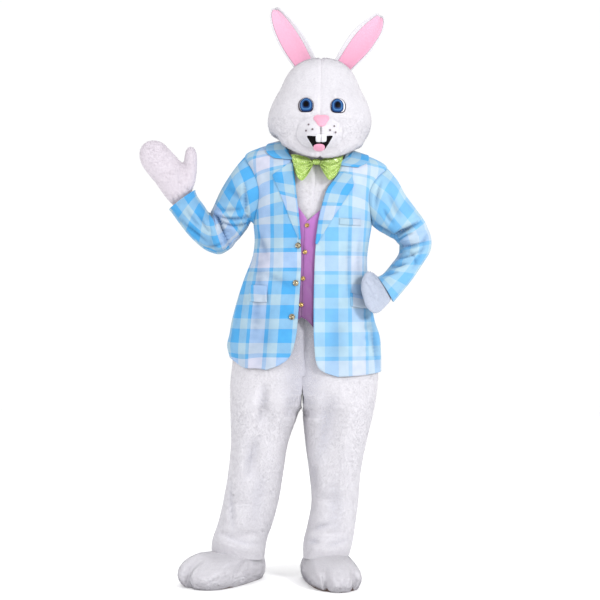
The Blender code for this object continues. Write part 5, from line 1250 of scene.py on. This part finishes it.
LIME = mottled("lime_satin", 0.35, (120.0, 3.0), ((0.35, "8aab48"), (0.65, "a6c164")), (0.0008, 0.6),
               sheen_weight=0.2, sheen_roughness=0.4)
spangle = Finish("lime_sequins", 0.18, coat_weight=0.6, coat_roughness=0.08)
glints = spangle.ramp(spangle.noise(330.0, 0.0), ((0.30, "88ab41"), (0.50, "a2c05e"), (0.68, "cfe09a")))
SPANGLE = spangle.done(glints, spangle.noise(500.0, 1.0), 0.0003, 0.4)


def sequins(name, grid, normals, seed, count):
    """Small six-sided discs sewn close together, each tipped a little its own way."""
    tossed = np.random.default_rng(seed)
    rows = tossed.integers(1, grid.shape[0] - 1, count)
    columns = tossed.integers(1, grid.shape[1] - 1, count)
    spot, up = grid[rows, columns], unit(normals[rows, columns] + tossed.normal(size=(count, 3)) * 0.16)
    spot = spot + (grid[rows - 1, columns] - spot) * tossed.random((count, 1)) + up * 0.0009
    aside = unit(np.cross(up, (0.0, 0.1, 1.0)))
    upward = np.cross(aside, up)
    turns = np.linspace(0, 2 * math.pi, 6, endpoint=False)
    ring = spot[:, None] + SEQUIN_RADIUS * (np.cos(turns)[:, None] * aside[:, None]
                                            + np.sin(turns)[:, None] * upward[:, None])
    made = meshed(name, ring.reshape(-1, 3), np.arange(6 * count).reshape(-1, 6), SPANGLE)
    return placed(made)


for side, rows in WINGS.items():
    turn = np.linspace(0.0, math.pi, WING_TURNS)
    share = np.sin(turn)
    x, low, high = np.moveaxis(blend(np.array(rows) / 1000, share * (len(rows) - 1)), -1, 0)
    place = np.linspace(0.0, 1.0, WING_PLACES)
    depth = WING_DEPTH * np.cos(turn) * (0.35 + share ** 0.5)
    pleats = PLEAT_DEPTH * np.cos(PLEATS * math.pi * place + PLEAT_START) * ((1 - 0.70 * share)[:, None])
    lift = WING_LIFT + (WING_BULGE * share + depth)[:, None] + pleats
    height = low[:, None] + (high - low)[:, None] * place
    slant = np.sign(x[WING_TURNS // 2]) * (0.012 * place - 0.004) * share[:, None] ** 2
    grid = chest(x[:, None] + slant, height, lift)
    facing = np.where(turn < math.pi / 2, -1.0, 1.0)[:, None, None] * np.array((0.0, 1.0, 0.0))
    lean = unit(np.cross(np.gradient(grid, axis=1), np.gradient(grid, axis=0)))
    lean = lean * np.sign(np.sum(lean[:24] * facing[:24]))
    piece = shell(f"{side}_bow_wing", grid, lean, SATIN_WALL, LIME)
    spots = sequins(f"{side}_wing_sequins", grid[:WING_FRONT_ROWS], lean[:WING_FRONT_ROWS], seed=21,
                    count=900)
    sewn(piece, f"bow_{side}", grid)

turns = np.linspace(0, 2 * math.pi, 44, endpoint=False)
rings = []
for share in np.linspace(-1.0, 1.0, 25):
    size = 0.98 * math.sqrt(1 - share ** 4) + 0.02
    centre = chest(KNOT[0] + KNOT_HALF[0] * share, KNOT[1], KNOT_LIFT)
    crimp = 1 + 0.06 * np.cos(turns * 2 + 9 * share)
    rings.append(centre + size * np.stack((0 * turns, KNOT_HALF[1] * crimp * np.cos(turns),
                                           KNOT_HALF[2] * crimp * np.sin(turns)), axis=-1))
grid = np.array(rings)
lean = ring_lean(grid, grid - grid.mean(axis=1, keepdims=True))
piece = shell("bow_middle", grid, lean, SATIN_WALL, LIME, around=True)
spots = sequins("middle_sequins", grid[3:-3], lean[3:-3], seed=22, count=200)
sewn(piece, "bow_knot", grid, around=True)

# ----------------------------------------
# Head: a hollow foam shell in two halves, covered in short white plush and joined down the middle
# of the face and the back. It widens to full cheeks and closes in under the chin to a neck hole.
HEAD_WALL = 0.0080
HEAD = np.array((
    # in mm: heights of the side, front and back, tilt, centre x and y, half width, front, back, cap
    (115, 70, 108, -8, 5, 0, 104.5, 100, 96, 0), (100, 46, 94, -8, 5, -3, 136, 136, 128, 0),
    (108, 56, 102, -6, 5, -4, 160, 156, 146, 0), (126, 90, 125, -2, 5, -5, 177, 168, 156, 0),
    (160, 150, 160, 0, 5.5, -5, 185.5, 174, 162, 0), (195, 193, 195, 0, 6, -4, 182, 172, 162, 0),
    (237, 237, 237, 0, 7, -3, 167, 160, 156, 0), (281, 281, 281, 0, 8, 0, 144, 141, 144, 0),
    (320, 320, 320, 0, 9, 2, 127, 122, 128, 0), (352, 352, 352, 0, 10, 3, 106, 103, 108, 0),
    (377, 377, 377, 0, 11, 4, 74, 74, 78, 0), (389.5, 389.5, 389.5, 0, 11, 4, 36, 36, 38, 0),
    (392.5, 392.5, 392.5, 0, 11, 4, 0.6, 0.6, 0.6, 0))) / 1000
head = Form(HEAD)
MUZZLE_CENTRE, MUZZLE_HALF = (0.004, 0.107), (0.079, 0.058)
EYES = (
    # side, centre x and height, and how far the iris sits off the centre along x
    ("right", -0.0425, 0.2070, -0.0002), ("left", 0.0665, 0.2045, -0.0018))
EYE_HALF = 0.0262
HEAD_PILE = 180000
CHIN_DROOP = np.array((0.0, 0.0, -0.020))


def inside(x, height, centre, half):
    """Below 1 inside an oval on the face."""
    return np.hypot((x - centre[0]) / half[0], (height - centre[1]) / half[1])


def face_press(grid):
    """Brows and cheeks swell softly round the eyes."""
    x, height = grid[..., 0], grid[..., 2]
    push = 0.0
    for _, eye_x, eye_z, _ in EYES:
        across, upward = (x - eye_x) / 0.034, (height - eye_z - 0.034) / 0.012
        push = push + 0.0035 * np.exp(-(across ** 2 + upward ** 2))
        across, upward = (x - eye_x) / 0.036, (height - eye_z + 0.041) / 0.015
        push = push + 0.0050 * np.exp(-(across ** 2 + upward ** 2))
    return push * (grid[..., 1] < 0)


def droop(grid):
    """The chin and the jowls hang a little lower than the shell, over the neck."""
    beside = np.clip((np.abs(grid[..., 0] - 0.005) - 0.040) / 0.030, 0.0, 1.0)
    out = np.clip((np.abs(grid[..., 0] - 0.005) - 0.070) / 0.050, 0.0, 1.0)
    under = np.clip((0.066 + 0.014 * beside + 0.030 * out - grid[..., 2]) / 0.018, 0.0, 1.0)
    ahead = np.clip((0.030 - grid[..., 1]) / 0.060, 0.0, 1.0)
    return CHIN_DROOP * (under ** 2 * (3 - 2 * under) * ahead)[..., None]


def bare(grid):
    """Pile length share on the head: none under the eyes and the muzzle."""
    x, height = grid[..., 0], grid[..., 2]
    share = np.clip((inside(x, height, MUZZLE_CENTRE, MUZZLE_HALF) - 0.86) / 0.1, 0.0, 1.0)
    for _, eye_x, eye_z, _ in EYES:
        eye = inside(x, height, (eye_x, eye_z - 0.002), (EYE_HALF, EYE_HALF))
        share = np.minimum(share, np.clip((eye - 0.98) / 0.12, 0.0, 1.0))
    return np.where(grid[..., 1] < 0, share, 1.0)


head_levels = stretches((0, 3, 26), (3, 11, 62), (11, 11.97, 8))
for side, stop in (("right", BACK - 2 * math.pi), ("left", BACK)):
    cut, lean = panel(head, head_levels, lambda t: FRONT + 0 * t, lambda t: stop + 0 * t, columns=70)
    worked = cut + lean * face_press(cut)[..., None] + droop(cut)
    lean = grid_lean(worked, lean)
    worked = sunk(worked, lean, "lr", depth=0.0030, width=0.0055)
    piece = shell(f"{side}_head_half", worked, lean, HEAD_WALL, WHITE_PLUSH)
    short = bare(worked) * seam_trim(worked, "lr", width=0.004, least=0.5)
    fuzz = pile(f"{side}_head_pile", worked, lean, HEAD_PILE, length=0.0052, seed=15, trim=short,
                width=0.0014)
    sewn(piece, f"head_{side}", cut)

# ----------------------------------------
# Muzzle: a padded plush dome sewn over the front of the head, with a whisker pad each side of the
# thread line under the nose and three small stitched dots on each pad.
MUZZLE_EDGE, MUZZLE_DOME = 0.0014, 0.034
PHILTRUM_X = 0.0077


def muzzle_height(x, height):
    """How far the muzzle's face stands off the head."""
    dome = np.maximum(0.0, 1.0 - inside(x, height, MUZZLE_CENTRE, MUZZLE_HALF) ** 2)
    return 2 * LAID_GAP + MUZZLE_EDGE + MUZZLE_DOME * dome ** 1.4


def whisker_pads(x, height):
    """The stuffed pads and the pull of the thread between them."""
    pads = sum(np.exp(-((x - PHILTRUM_X - way * 0.027) / 0.020) ** 2 - ((height - 0.121) / 0.017) ** 2)
               for way in (-1, 1))
    thread = hill(x, PHILTRUM_X, 0.004) * np.exp(-((height - 0.116) / 0.017) ** 4)
    return 0.0030 * pads - 0.0022 * thread


def domed(name, centre, outline, lift, finish, node=None, rings=22, spokes=88, skirt=0.0):
    """A shaped piece laid on the face: rings of its outline out from the centre, then a short skirt
    down to what it is laid on. lift gives its height off the head for x, height and ring share."""
    turn = np.linspace(0, 2 * math.pi, spokes, endpoint=False)
    edge_x, edge_z = outline(turn)
    share = np.linspace(1.0, 0.004, rings)[:, None]
    x, height = centre[0] + edge_x * share, centre[1] + edge_z * share
    stand = lift(x, height, share)
    if skirt:
        x, height = np.concatenate((x[:1], x)), np.concatenate((height[:1], height))
        stand = np.concatenate((stand[:1] - skirt, stand))
        share = np.concatenate((share[:1], share))
    grid = head.front(x, height, stand)
    uv = np.stack((np.broadcast_to(share, x.shape), np.broadcast_to(turn, x.shape)), axis=-1)
    faces = grid_faces(grid, around=True)
    points = grid.reshape(-1, 3)
    corner = points[faces[len(faces) // 2, :3]]
    if np.cross(corner[1] - corner[0], corner[2] - corner[0])[1] > 0:
        faces = faces[:, ::-1]
    piece = meshed(name, points, faces, finish)
    layer = piece.data.uv_layers.new(name="rings")
    layer.data.foreach_set("uv", uv.reshape(-1, 2)[faces.reshape(-1)].astype(np.float32).reshape(-1))
    return placed(piece, node), grid


def oval(half_width, half_height, corner=1.0):
    return lambda turn: (half_width * power(np.cos(turn), corner), half_height * power(np.sin(turn), corner))


def on_pad(extra, dome=0.0, roundness=2):
    """The height of a piece laid this far off the muzzle's pads, doming toward its middle."""
    return lambda x, height, share: (muzzle_height(x, height) + whisker_pads(x, height) + extra
                                     + dome * (1 - share ** roundness))


muzzle, grid = domed("plush_muzzle", MUZZLE_CENTRE, oval(*MUZZLE_HALF, 0.92), on_pad(0.0), WHITE_PLUSH,
                     "muzzle", rings=40, spokes=120, skirt=0.003)
lean = ring_lean(grid, np.broadcast_to((0.0, -1.0, 0.0), grid.shape))


def mouth_shape(x, height):
    """Below 1 inside the open mouth, a trapezium wider above."""
    half = 0.0185 + 0.0270 * np.clip((height - 0.0644) / 0.0310, -0.4, 1.0)
    return np.maximum(np.abs(x - 0.0035) / half, np.abs(height - 0.0765) / 0.0285)


NOSE_CENTRE, NOSE_BED = (0.0095, 0.1500), (0.024, 0.019)
bare_pad = np.clip((mouth_shape(grid[..., 0], grid[..., 2]) - 0.98) / 0.10, 0.0, 1.0)
under_nose = inside(grid[..., 0], grid[..., 2], NOSE_CENTRE, NOSE_BED)
bare_pad = bare_pad * np.clip((under_nose - 0.98) / 0.10, 0.0, 1.0)
pile("muzzle_pile", grid, lean, HEAD_PILE, length=0.0036, seed=16, trim=bare_pad, around=True, width=0.0012,
     grain=(0.0, -0.2, -1.0))

THREAD = mottled("dark_thread", 0.7, (900.0, 2.0), ((0.3, "453a40"), (0.7, "76686e")), (0.0004, 0.5))
# Stitched dots as x and height; the thread line runs from the nose down to the mouth.
WHISKER_DOTS = ((-0.0329, 0.1345), (-0.0402, 0.1140), (-0.0194, 0.1185),
                (0.0514, 0.1293), (0.0365, 0.1158), (0.0552, 0.1088))
DOT_RADIUS = 0.0031
for number, centre in enumerate(WHISKER_DOTS, 1):
    domed(f"whisker_dot_{number}", centre, oval(DOT_RADIUS, DOT_RADIUS), on_pad(0.0022, dome=0.0012), THREAD,
          rings=5, spokes=18, skirt=0.002)
domed("thread_line", (PHILTRUM_X, 0.1165), oval(0.0010, 0.0150, 0.7), on_pad(0.0024, dome=0.0006), THREAD,
      rings=4, spokes=40, skirt=0.002)

# ----------------------------------------
# Mouth: black felt laid on the muzzle, two white front teeth cut from one piece of firm felt with
# a split between them, and a padded pink tongue sewn over the lower edge.
MOUTH_LIFT = 0.0026


def mouth_outline(turn):
    """A trapezium with soft corners, wide at the top, its lower edge round the tongue."""
    across, upward = power(np.cos(turn), 0.30), power(np.sin(turn), 0.30)
    half = 0.0150 + 0.0310 * ((upward + 1) / 2) ** 1.15
    return half * across, 0.0250 * upward + 0.0050 * (across ** 2 - 0.5) * (upward > 0)


BLACK_FELT = mottled("black_felt", 1.0, (700.0, 4.0), ((0.3, "060405"), (0.75, "120d10")), (0.0006, 0.6),
                     specular_ior_level=0.1)
LIP = mottled("white_lip_felt", 0.9, (500.0, 3.0), ((0.3, "bfbdc4"), (0.7, "cccbd1")), (0.0005, 0.5))
domed("mouth_border", (0.0040, 0.0725), lambda turn: tuple(1.13 * part for part in mouth_outline(turn)),
      on_pad(MOUTH_LIFT - 0.0012), LIP, skirt=0.0020)
mouth, _ = domed("felt_mouth", (0.0040, 0.0735), mouth_outline, on_pad(MOUTH_LIFT), BLACK_FELT,
                 "mouth", skirt=0.0015)
TOOTH = mottled("white_tooth_felt", 0.55, (220.0, 3.0), ((0.3, "c4c3c8"), (0.7, "d3d2d7")), (0.0004, 0.4))
TOOTH_SPLIT_X = 0.0080


def tooth_lift(x, height, share):
    """Domed teeth with the groove of the split between them."""
    split = hill(x, TOOTH_SPLIT_X, 0.0012)
    return muzzle_height(x, height) + MOUTH_LIFT + 0.0034 * (1 - share ** 6) - 0.0030 * split + 0.0006


teeth, _ = domed("front_teeth", (TOOTH_SPLIT_X, 0.0905), oval(0.0172, 0.0115, 0.42), tooth_lift, TOOTH,
                 "teeth", rings=26, spokes=120, skirt=0.003)
domed("tooth_split", (TOOTH_SPLIT_X, 0.0900), oval(0.0006, 0.0105, 0.6),
      lambda x, height, share: tooth_lift(x, height, 0 * share) + 0.0006, THREAD, rings=4,
      spokes=30)
TONGUE = mottled("pink_tongue_felt", 0.8, (500.0, 3.0), ((0.3, "cd84a1"), (0.7, "d997b2")), (0.0005, 0.6),
                 sheen_weight=0.3, sheen_roughness=0.5)
tongue, _ = domed("felt_tongue", (0.0020, 0.0612), oval(0.0192, 0.0126, 0.85),
                  on_pad(MOUTH_LIFT + 0.0010, dome=0.0040, roundness=4), TONGUE, "tongue",
                  skirt=0.003)

# ----------------------------------------
# Nose and eyes: a stuffed pink nose, a rounded triangle flat above, and glossy moulded eyes: a dark
# rim, a white and a blue iris with rings and a black pupil, cut straight below by the cheeks.
def nose_outline(turn):
    """A rounded triangle, flat above and pointed below."""
    reach_out = 0.0215 + 0.0035 * np.cos(3 * (turn + math.pi / 2))
    return 1.18 * reach_out * np.cos(turn), 0.95 * reach_out * np.sin(turn)


NOSE = mottled("pink_nose_velour", 0.62, (600.0, 3.0), ((0.3, "cf8fa6"), (0.7, "d89fb3")), (0.0005, 0.5),
               sheen_weight=0.15, sheen_roughness=0.4, specular_ior_level=0.2)
nose, _ = domed("stuffed_nose", NOSE_CENTRE, nose_outline,
                lambda x, height, share: muzzle_height(x, height) + 0.0012 + 0.0110 * (1 - share ** 3), NOSE,
                "nose", skirt=0.004)


def arch(half_width, up, down):
    """An arched eye: a round top and a nearly straight lower edge."""
    def outline(turn):
        upward = np.sin(turn)
        corner = np.where(upward < 0, 0.60, 1.12)
        tall = np.where(upward < 0, down, up)
        return half_width * power(np.cos(turn), corner), tall * power(upward, corner)
    return outline


def gloss(name, colours, rough=0.35):
    """Moulded plastic in rings, by share of the way out from the centre."""
    made = Finish(name, rough, specular_ior_level=0.05)
    radius, _ = made.cloth()
    wobble = made.sum("MULTIPLY", made.sum("SUBTRACT", made.noise(260.0, 2.0), 0.5), 0.05)
    return made.done(made.ramp(made.sum("ADD", radius, wobble), colours))


EYE_RIM = gloss("eye_rim_plastic", ((0.0, "2c2730"), (0.8, "3c3238")), 0.3)
EYE_WHITE = gloss("eye_white_plastic", ((0.0, "c6c9d2"), (0.9, "d2d4db")))
IRIS = gloss("blue_iris_plastic", ((0.0, "04040a"), (0.38, "06070e"), (0.44, "14264a"), (0.60, "20406f"),
                                   (0.68, "44709c"), (0.78, "274c80"), (0.92, "15294f")))
for side, x, height, iris_x in EYES:
    outer_way = -1 if side == "right" else 1
    layers = (
        # name, node, slot, finish, centre x, centre height, half width, up, down, stand, dome
        ("eye_rim", "eye_rim", "eye_rim_dark", EYE_RIM, x + 0.0012 * outer_way, height - 0.001,
         EYE_HALF, 0.0250, 0.0290, 0.0030, 0.0030),
        ("eye_white", "eye_white", "eye_white", EYE_WHITE, x + 0.0002 * outer_way, height - 0.001,
         0.0226 if side == "right" else 0.0234, 0.0232, 0.0262, 0.0046, 0.0036),
        ("eye_blue", "iris", "eye_blue", IRIS, x + iris_x - 0.0005 * outer_way, height - 0.002,
         0.0218 if side == "right" else 0.0208, 0.0222, 0.0258, 0.0066, 0.0044))
    for name, node, slot, finish, centre_x, centre_z, half, up, down, stand, dome in layers:
        domed(f"{side}_{name}", (centre_x, centre_z), arch(half, up, down),
              lambda x, height, share: stand + dome * (1 - share ** 2), finish, f"{node}_{side}",
              rings=20, spokes=72, skirt=stand - 0.001)

# ----------------------------------------
# Ears: tall padded leaves of white plush, each with a cupped lining of pink plush that leaves a
# fluffy white margin along its inner side. They are sewn to the crown and lean apart.
EARS = {
    # in mm: left x, left z, right x, right z from base to tip; then the lining's edges as shares
    "right": (((-62, 320, 6, 345), (-82, 362, -10, 392), (-108, 399, -22, 421),
               (-133, 439, -38, 454), (-153, 482, -62, 492), (-166, 522, -88, 526),
               (-170, 556, -119, 558), (-163, 576, -143, 577)), 0.05, 0.85),
    "left": (((28, 345, 100, 312), (60, 386, 114, 348), (80, 421, 145, 380),
              (100, 455, 181, 416), (127, 492, 210, 455), (159, 523, 231, 493),
              (195, 548, 238, 529), (214, 556, 233, 546)), 0.14, 0.95)}
EAR_Y, EAR_CUP, EAR_EDGE, EAR_WALL = 0.020, 0.014, 0.005, 0.0110
LINING_WALL, LINING_COLUMNS, LINING_RIM = 0.0025, 26, 0.0022
pink = Finish("pink_plush_cloth", 0.95, sheen_weight=0.1, sheen_roughness=0.5, specular_ior_level=0.2)
clumps = pink.noise(260.0, 3.0)
upward = pink.node("SeparateXYZ", {0: pink.place()}).outputs[2]
rise = pink.sum("ADD", pink.sum("MULTIPLY", pink.sum("SUBTRACT", upward, 0.32), 3.0),
                pink.sum("MULTIPLY", clumps, 0.25))
PINK_PLUSH = pink.done(pink.ramp(rise, ((0.12, "c688a2"), (0.85, "d0a0b6"))), clumps, 0.0015, 0.6)


def ear_grid(rows, places, shares):
    """A cupped leaf of points between the ear's left and right edges."""
    edges = blend(np.array(rows) / 1000, shares * (len(rows) - 1))[:, None]
    place = places[None, :]
    x = edges[..., 0] + (edges[..., 2] - edges[..., 0]) * place
    height = edges[..., 1] + (edges[..., 3] - edges[..., 1]) * place
    return np.stack((x, EAR_Y + EAR_CUP * (1 - (2 * place - 1) ** 2) + 0 * x, height), axis=-1)


for side, (rows, inner, outer) in EARS.items():
    places, shares = np.linspace(0.0, 1.0, 30), np.linspace(0.05, 1.0, 60)
    grid = ear_grid(rows, places, shares)
    forward = grid_lean(grid, np.broadcast_to((0.0, -1.0, 0.0), grid.shape))
    thick = EAR_EDGE + EAR_WALL * (1 - (2 * places - 1) ** 2)
    piece = shell(f"{side}_ear", grid, forward, thick, WHITE_PLUSH)
    sewn(piece, f"ear_{side}", grid)
    lining = ear_grid(rows, np.linspace(inner, outer, LINING_COLUMNS), np.linspace(0.05, 0.975, 58))
    forward = grid_lean(lining, np.broadcast_to((0.0, -1.0, 0.0), lining.shape))
    rim = LINING_RIM * (1 - np.linspace(-1.0, 1.0, LINING_COLUMNS) ** 6)
    raised = lining + forward * (LINING_WALL + LAID_GAP + rim[:, None])
    piece = shell(f"{side}_ear_lining", raised, forward, LINING_WALL, PINK_PLUSH)
    sewn(piece, f"ear_lining_{side}", lining)

# ----------------------------------------
# Mitts: white plush mitts, each two shaped halves joined round the edge. The right has its thumb
# up in a wave; the left is on the hip. Both wrists go up inside the suit's sleeves.
MITT_WALL = 0.0030
MITTS = {
    # in mm: edge a x, z, edge b x, z, centre y, half depth
    "right": ((-533, -122, -445, -75, -52, 40), (-556, -92, -452, -45, -64, 40),
        (-580, -57, -465, -15, -72, 40), (-605, -27, -486, 12, -78, 39), (-627, 6, -508, 36, -82, 37),
        (-634, 44, -530, 60, -84, 32), (-622, 73, -550, 79, -85, 23), (-600, 87, -572, 88, -85, 9)),
    "left": ((206, -388, 258, -478, -56, 40), (190, -378, 243, -494, -82, 40),
        (176, -374, 220, -515, -112, 34), (162, -384, 202, -523, -134, 27), (151, -406, 184, -518, -146, 20),
        (147, -436, 164, -496, -150, 10))}
THUMB = (
    (-510, -70, -464, -95, -66, 20), (-490, -30, -442, -72, -70, 26), (-478, 6, -433, -36, -74, 25),
    (-474, 34, -430, 4, -77, 23), (-469, 55, -431, 42, -79, 19), (-459, 67, -440, 64, -80, 9))
MITT_FOLDS = {
    # in mm: start x and z, bend x and z, stop x and z, half width, depth
    "right": ((-484, 20, -517, 10, -565, 15, 12, -4.5), (-484, 7, -533, -31, -587, -42, 14, -4),
        (-479, 7, -482, -36, -495, -90, 10, -4), (-506, -132, -513, -117, -524, -98, 4, -3.5),
        (-489, -122, -497, -106, -508, -86, 4, -4), (-471, -112, -480, -94, -488, -78, 4, -3.5),
        (-455, -100, -462, -86, -468, -70, 4, -3)),
    "left": ((160, -396, 188, -430, 198, -478, 8, -4), (205, -405, 226, -448, 215, -490, 8, -4.5),
        (176, -392, 204, -404, 228, -436, 7, -3))}
MITT_FINISH = {
    "right": (plush("white_mitt_cloth", "b8b1b9", "c1bac2"),
              tuft_finish("white_mitt_pile", "bab3bb", "c3bcc4")),
    # The left mitt is the same white plush, painted darker and bluer: painted shade and a painted blue
    # reflection of the jacket.
    "left": (plush("shaded_mitt_cloth", "9da5b5", "aab1c0"),
             tuft_finish("shaded_mitt_pile", "a2a9b9", "acb2c2"))}
WRIST_INSET, WRIST_REACH = SUIT_SLEEVE_INSET + SUIT_WALL + 0.0030, 0.18
REMESH_CELL, MITT_PILE = 0.0046, 150000
LOBE_TURNS = 40


def wrist(stations, level):
    """A mitt station that fits inside the suit's sleeve, at this level of the arm."""
    outer_x, outer_z, inner_x, inner_z, centre_y, half_depth = blend(stations, np.array(level))
    reach_to = np.array((outer_x - inner_x, outer_z - inner_z)) / 2
    middle = np.array((outer_x + inner_x, outer_z + inner_z)) / 2
    reach_to = reach_to * (1 - WRIST_INSET / np.linalg.norm(reach_to))
    return (*(middle - reach_to), *(middle + reach_to), centre_y, half_depth - WRIST_INSET)


def lobe(stations):
    """A closed bag of cloth round a finger, a thumb or the hand."""
    values = blend(stations, np.linspace(0, len(stations) - 1, LOBE_TURNS))
    turn = np.linspace(0, 2 * math.pi, LOBE_TURNS, endpoint=False)[None, :, None]
    a = np.stack((values[:, 0], values[:, 4], values[:, 1]), axis=-1)[:, None]
    b = np.stack((values[:, 2], values[:, 4], values[:, 3]), axis=-1)[:, None]
    deep = values[:, 5][:, None, None] * np.array((0.0, 1.0, 0.0))
    rings = (a + b) / 2 + (b - a) / 2 * np.cos(turn) + deep * np.sin(turn)
    points = np.concatenate((rings.reshape(-1, 3), rings[:1].mean(axis=1), rings[-1:].mean(axis=1)))
    quads = grid_faces(rings, around=True)
    last = rings.shape[0] * rings.shape[1]
    caps = []
    for first in range(LOBE_TURNS):
        caps.append(((first + 1) % LOBE_TURNS, first, last))
    for first in range(LOBE_TURNS):
        ring = last - LOBE_TURNS
        caps.append((ring + first, ring + (first + 1) % LOBE_TURNS, last + 1))
    return points, [tuple(face) for face in quads.tolist()] + caps


def bag(name, lobes, open_at, open_way):
    """The lobes fused into one soft skin and opened at the wrist."""
    mesh = bpy.data.meshes.new(name)
    points, faces = [], []
    for lobe_points, lobe_faces in lobes:
        faces += [tuple(corner + len(points) for corner in face) for face in lobe_faces]
        points += lobe_points.tolist()
    mesh.from_pydata(points, [], faces)
    made = linked(name, mesh)
    fuse = made.modifiers.new("fuse", "REMESH")
    fuse.mode, fuse.voxel_size, fuse.use_smooth_shade = "VOXEL", REMESH_CELL, True
    ease = made.modifiers.new("ease", "SMOOTH")
    ease.factor, ease.iterations = 0.5, 6
    fused = bpy.data.meshes.new_from_object(made.evaluated_get(bpy.context.evaluated_depsgraph_get()))
    made.modifiers.clear()
    made.data = fused
    bpy.data.meshes.remove(mesh)
    points, normals = np.zeros((2, len(fused.vertices) * 3))
    fused.vertices.foreach_get("co", points)
    fused.vertices.foreach_get("normal", normals)
    points, normals = points.reshape(-1, 3), normals.reshape(-1, 3)
    quads = np.array([tuple(face.vertices) for face in fused.polygons if len(face.vertices) == 4])
    bpy.data.objects.remove(made)
    kept = ((points[quads] - open_at) @ open_way).min(axis=1) > 0.004
    return points, normals, quads[kept]


def walled(name, points, normals, faces, thickness, finish):
    """An open skin given a wall: an inner layer and a rim round its open edge."""
    used = np.unique(faces)
    places = np.full(len(points), -1)
    places[used] = np.arange(len(used))
    points, normals, faces = points[used], normals[used], places[faces]
    sides = np.concatenate([faces[:, (i, (i + 1) % 4)] for i in range(4)])
    keys = {tuple(side) for side in sides.tolist()}
    rim = np.array([side for side in sides.tolist() if (side[1], side[0]) not in keys])
    count = len(points)
    hem = np.stack((rim[:, 1], rim[:, 0], rim[:, 0] + count, rim[:, 1] + count), axis=-1)
    everything = np.concatenate((points, points - normals * thickness))
    piece = meshed(name, everything, np.concatenate((faces, faces[:, ::-1] + count, hem)), finish)
    return piece, points, normals, faces


def middle_of(station):
    """The middle of a mitt station."""
    return np.array(((station[0] + station[2]) / 2, station[4], (station[1] + station[3]) / 2))


for side, stations in MITTS.items():
    arm = arms[side]
    cuff = len(arm) - 1
    end, before = np.array(wrist(arm, cuff)), np.array(wrist(arm, cuff - WRIST_REACH))
    stations = np.array((before, end, end + (end - before) * 0.4, *(np.array(stations) / 1000)))
    lobes = [lobe(stations)] + ([lobe(np.array(THUMB) / 1000)] if side == "right" else [])
    open_at = middle_of(before)
    points, normals, faces = bag(f"{side}_mitt_form", lobes, open_at, unit(middle_of(end) - open_at))
    points = folded(points[None], normals[None], [(1, *row) for row in MITT_FOLDS[side]])[0]
    skin, tuft = MITT_FINISH[side]
    piece, points, normals, faces = walled(f"{side}_mitt", points, normals, faces, MITT_WALL, skin)
    placed(piece, f"mitt_{side}")
    fuzz = pile(f"{side}_mitt_pile", points, normals, MITT_PILE, length=0.0040, seed=20, faces=faces,
                grain=(0.0, 0.0, 0.6), finish=tuft)
    spots = points[faces]
    corner_to_corner = np.cross(spots[:, 2] - spots[:, 0], spots[:, 3] - spots[:, 1])
    area = float(np.linalg.norm(corner_to_corner, axis=1).sum() / 2)

# ----------------------------------------
# The room: a plain pale floor, soft studio light from the front on both sides and from above behind,
# and the camera straight in front at the height of the waist.
PAPER = mottled("pale_paper", 0.9, (3.0, 2.0), ((0.3, "fbfbfb"), (0.7, "ffffff")))
FLOOR_HALF = 8.0
corners = [(x * FLOOR_HALF, y * FLOOR_HALF, FLOOR_Z) for x, y in ((-1, -1), (1, -1), (1, 1), (-1, 1))]
meshed("studio_floor", np.array(corners), np.array(((0, 1, 2, 3),)), PAPER)

world = bpy.data.worlds.new("studio")
bpy.context.scene.world = world
world.use_nodes = True
glow = world.node_tree.nodes["Background"].inputs
glow["Color"].default_value = (1.0, 1.0, 1.0, 1.0)
glow["Strength"].default_value = 1.02
LAMPS = (
    # name, place, aimed at, size, watts
    ("key", (3.2, -3.6, 1.5), (0.0, 0.0, -0.3), 0.9, 172.0),
    ("fill", (-3.6, -2.6, 1.4), (0.0, 0.0, -0.4), 1.2, 68.0),
    ("rim", (0.6, 3.6, 2.8), (0.0, 0.0, -0.2), 2.0, 40.0))
for name, place, aim, size, watts in LAMPS:
    lamp = bpy.data.lights.new(name, "AREA")
    lamp.energy, lamp.size = watts, size
    holder = linked(name, lamp)
    holder.location = place
    way = np.array(aim) - np.array(place)
    turn = math.atan2(way[0], way[1])
    holder.rotation_euler = (math.atan2(math.hypot(way[0], way[1]), -way[2]), 0.0, -turn)

CAMERA_PLACE = (-0.0648, -5.2, -0.4752)
view = bpy.data.cameras.new("front_camera")
view.lens, view.sensor_width = 86.67, 36.0
camera = linked("front_camera", view)
camera.location = CAMERA_PLACE
camera.rotation_euler = (math.radians(90.0), 0.0, 0.0)
bpy.context.scene.camera = camera
bpy.context.scene.view_settings.view_transform = "Standard"
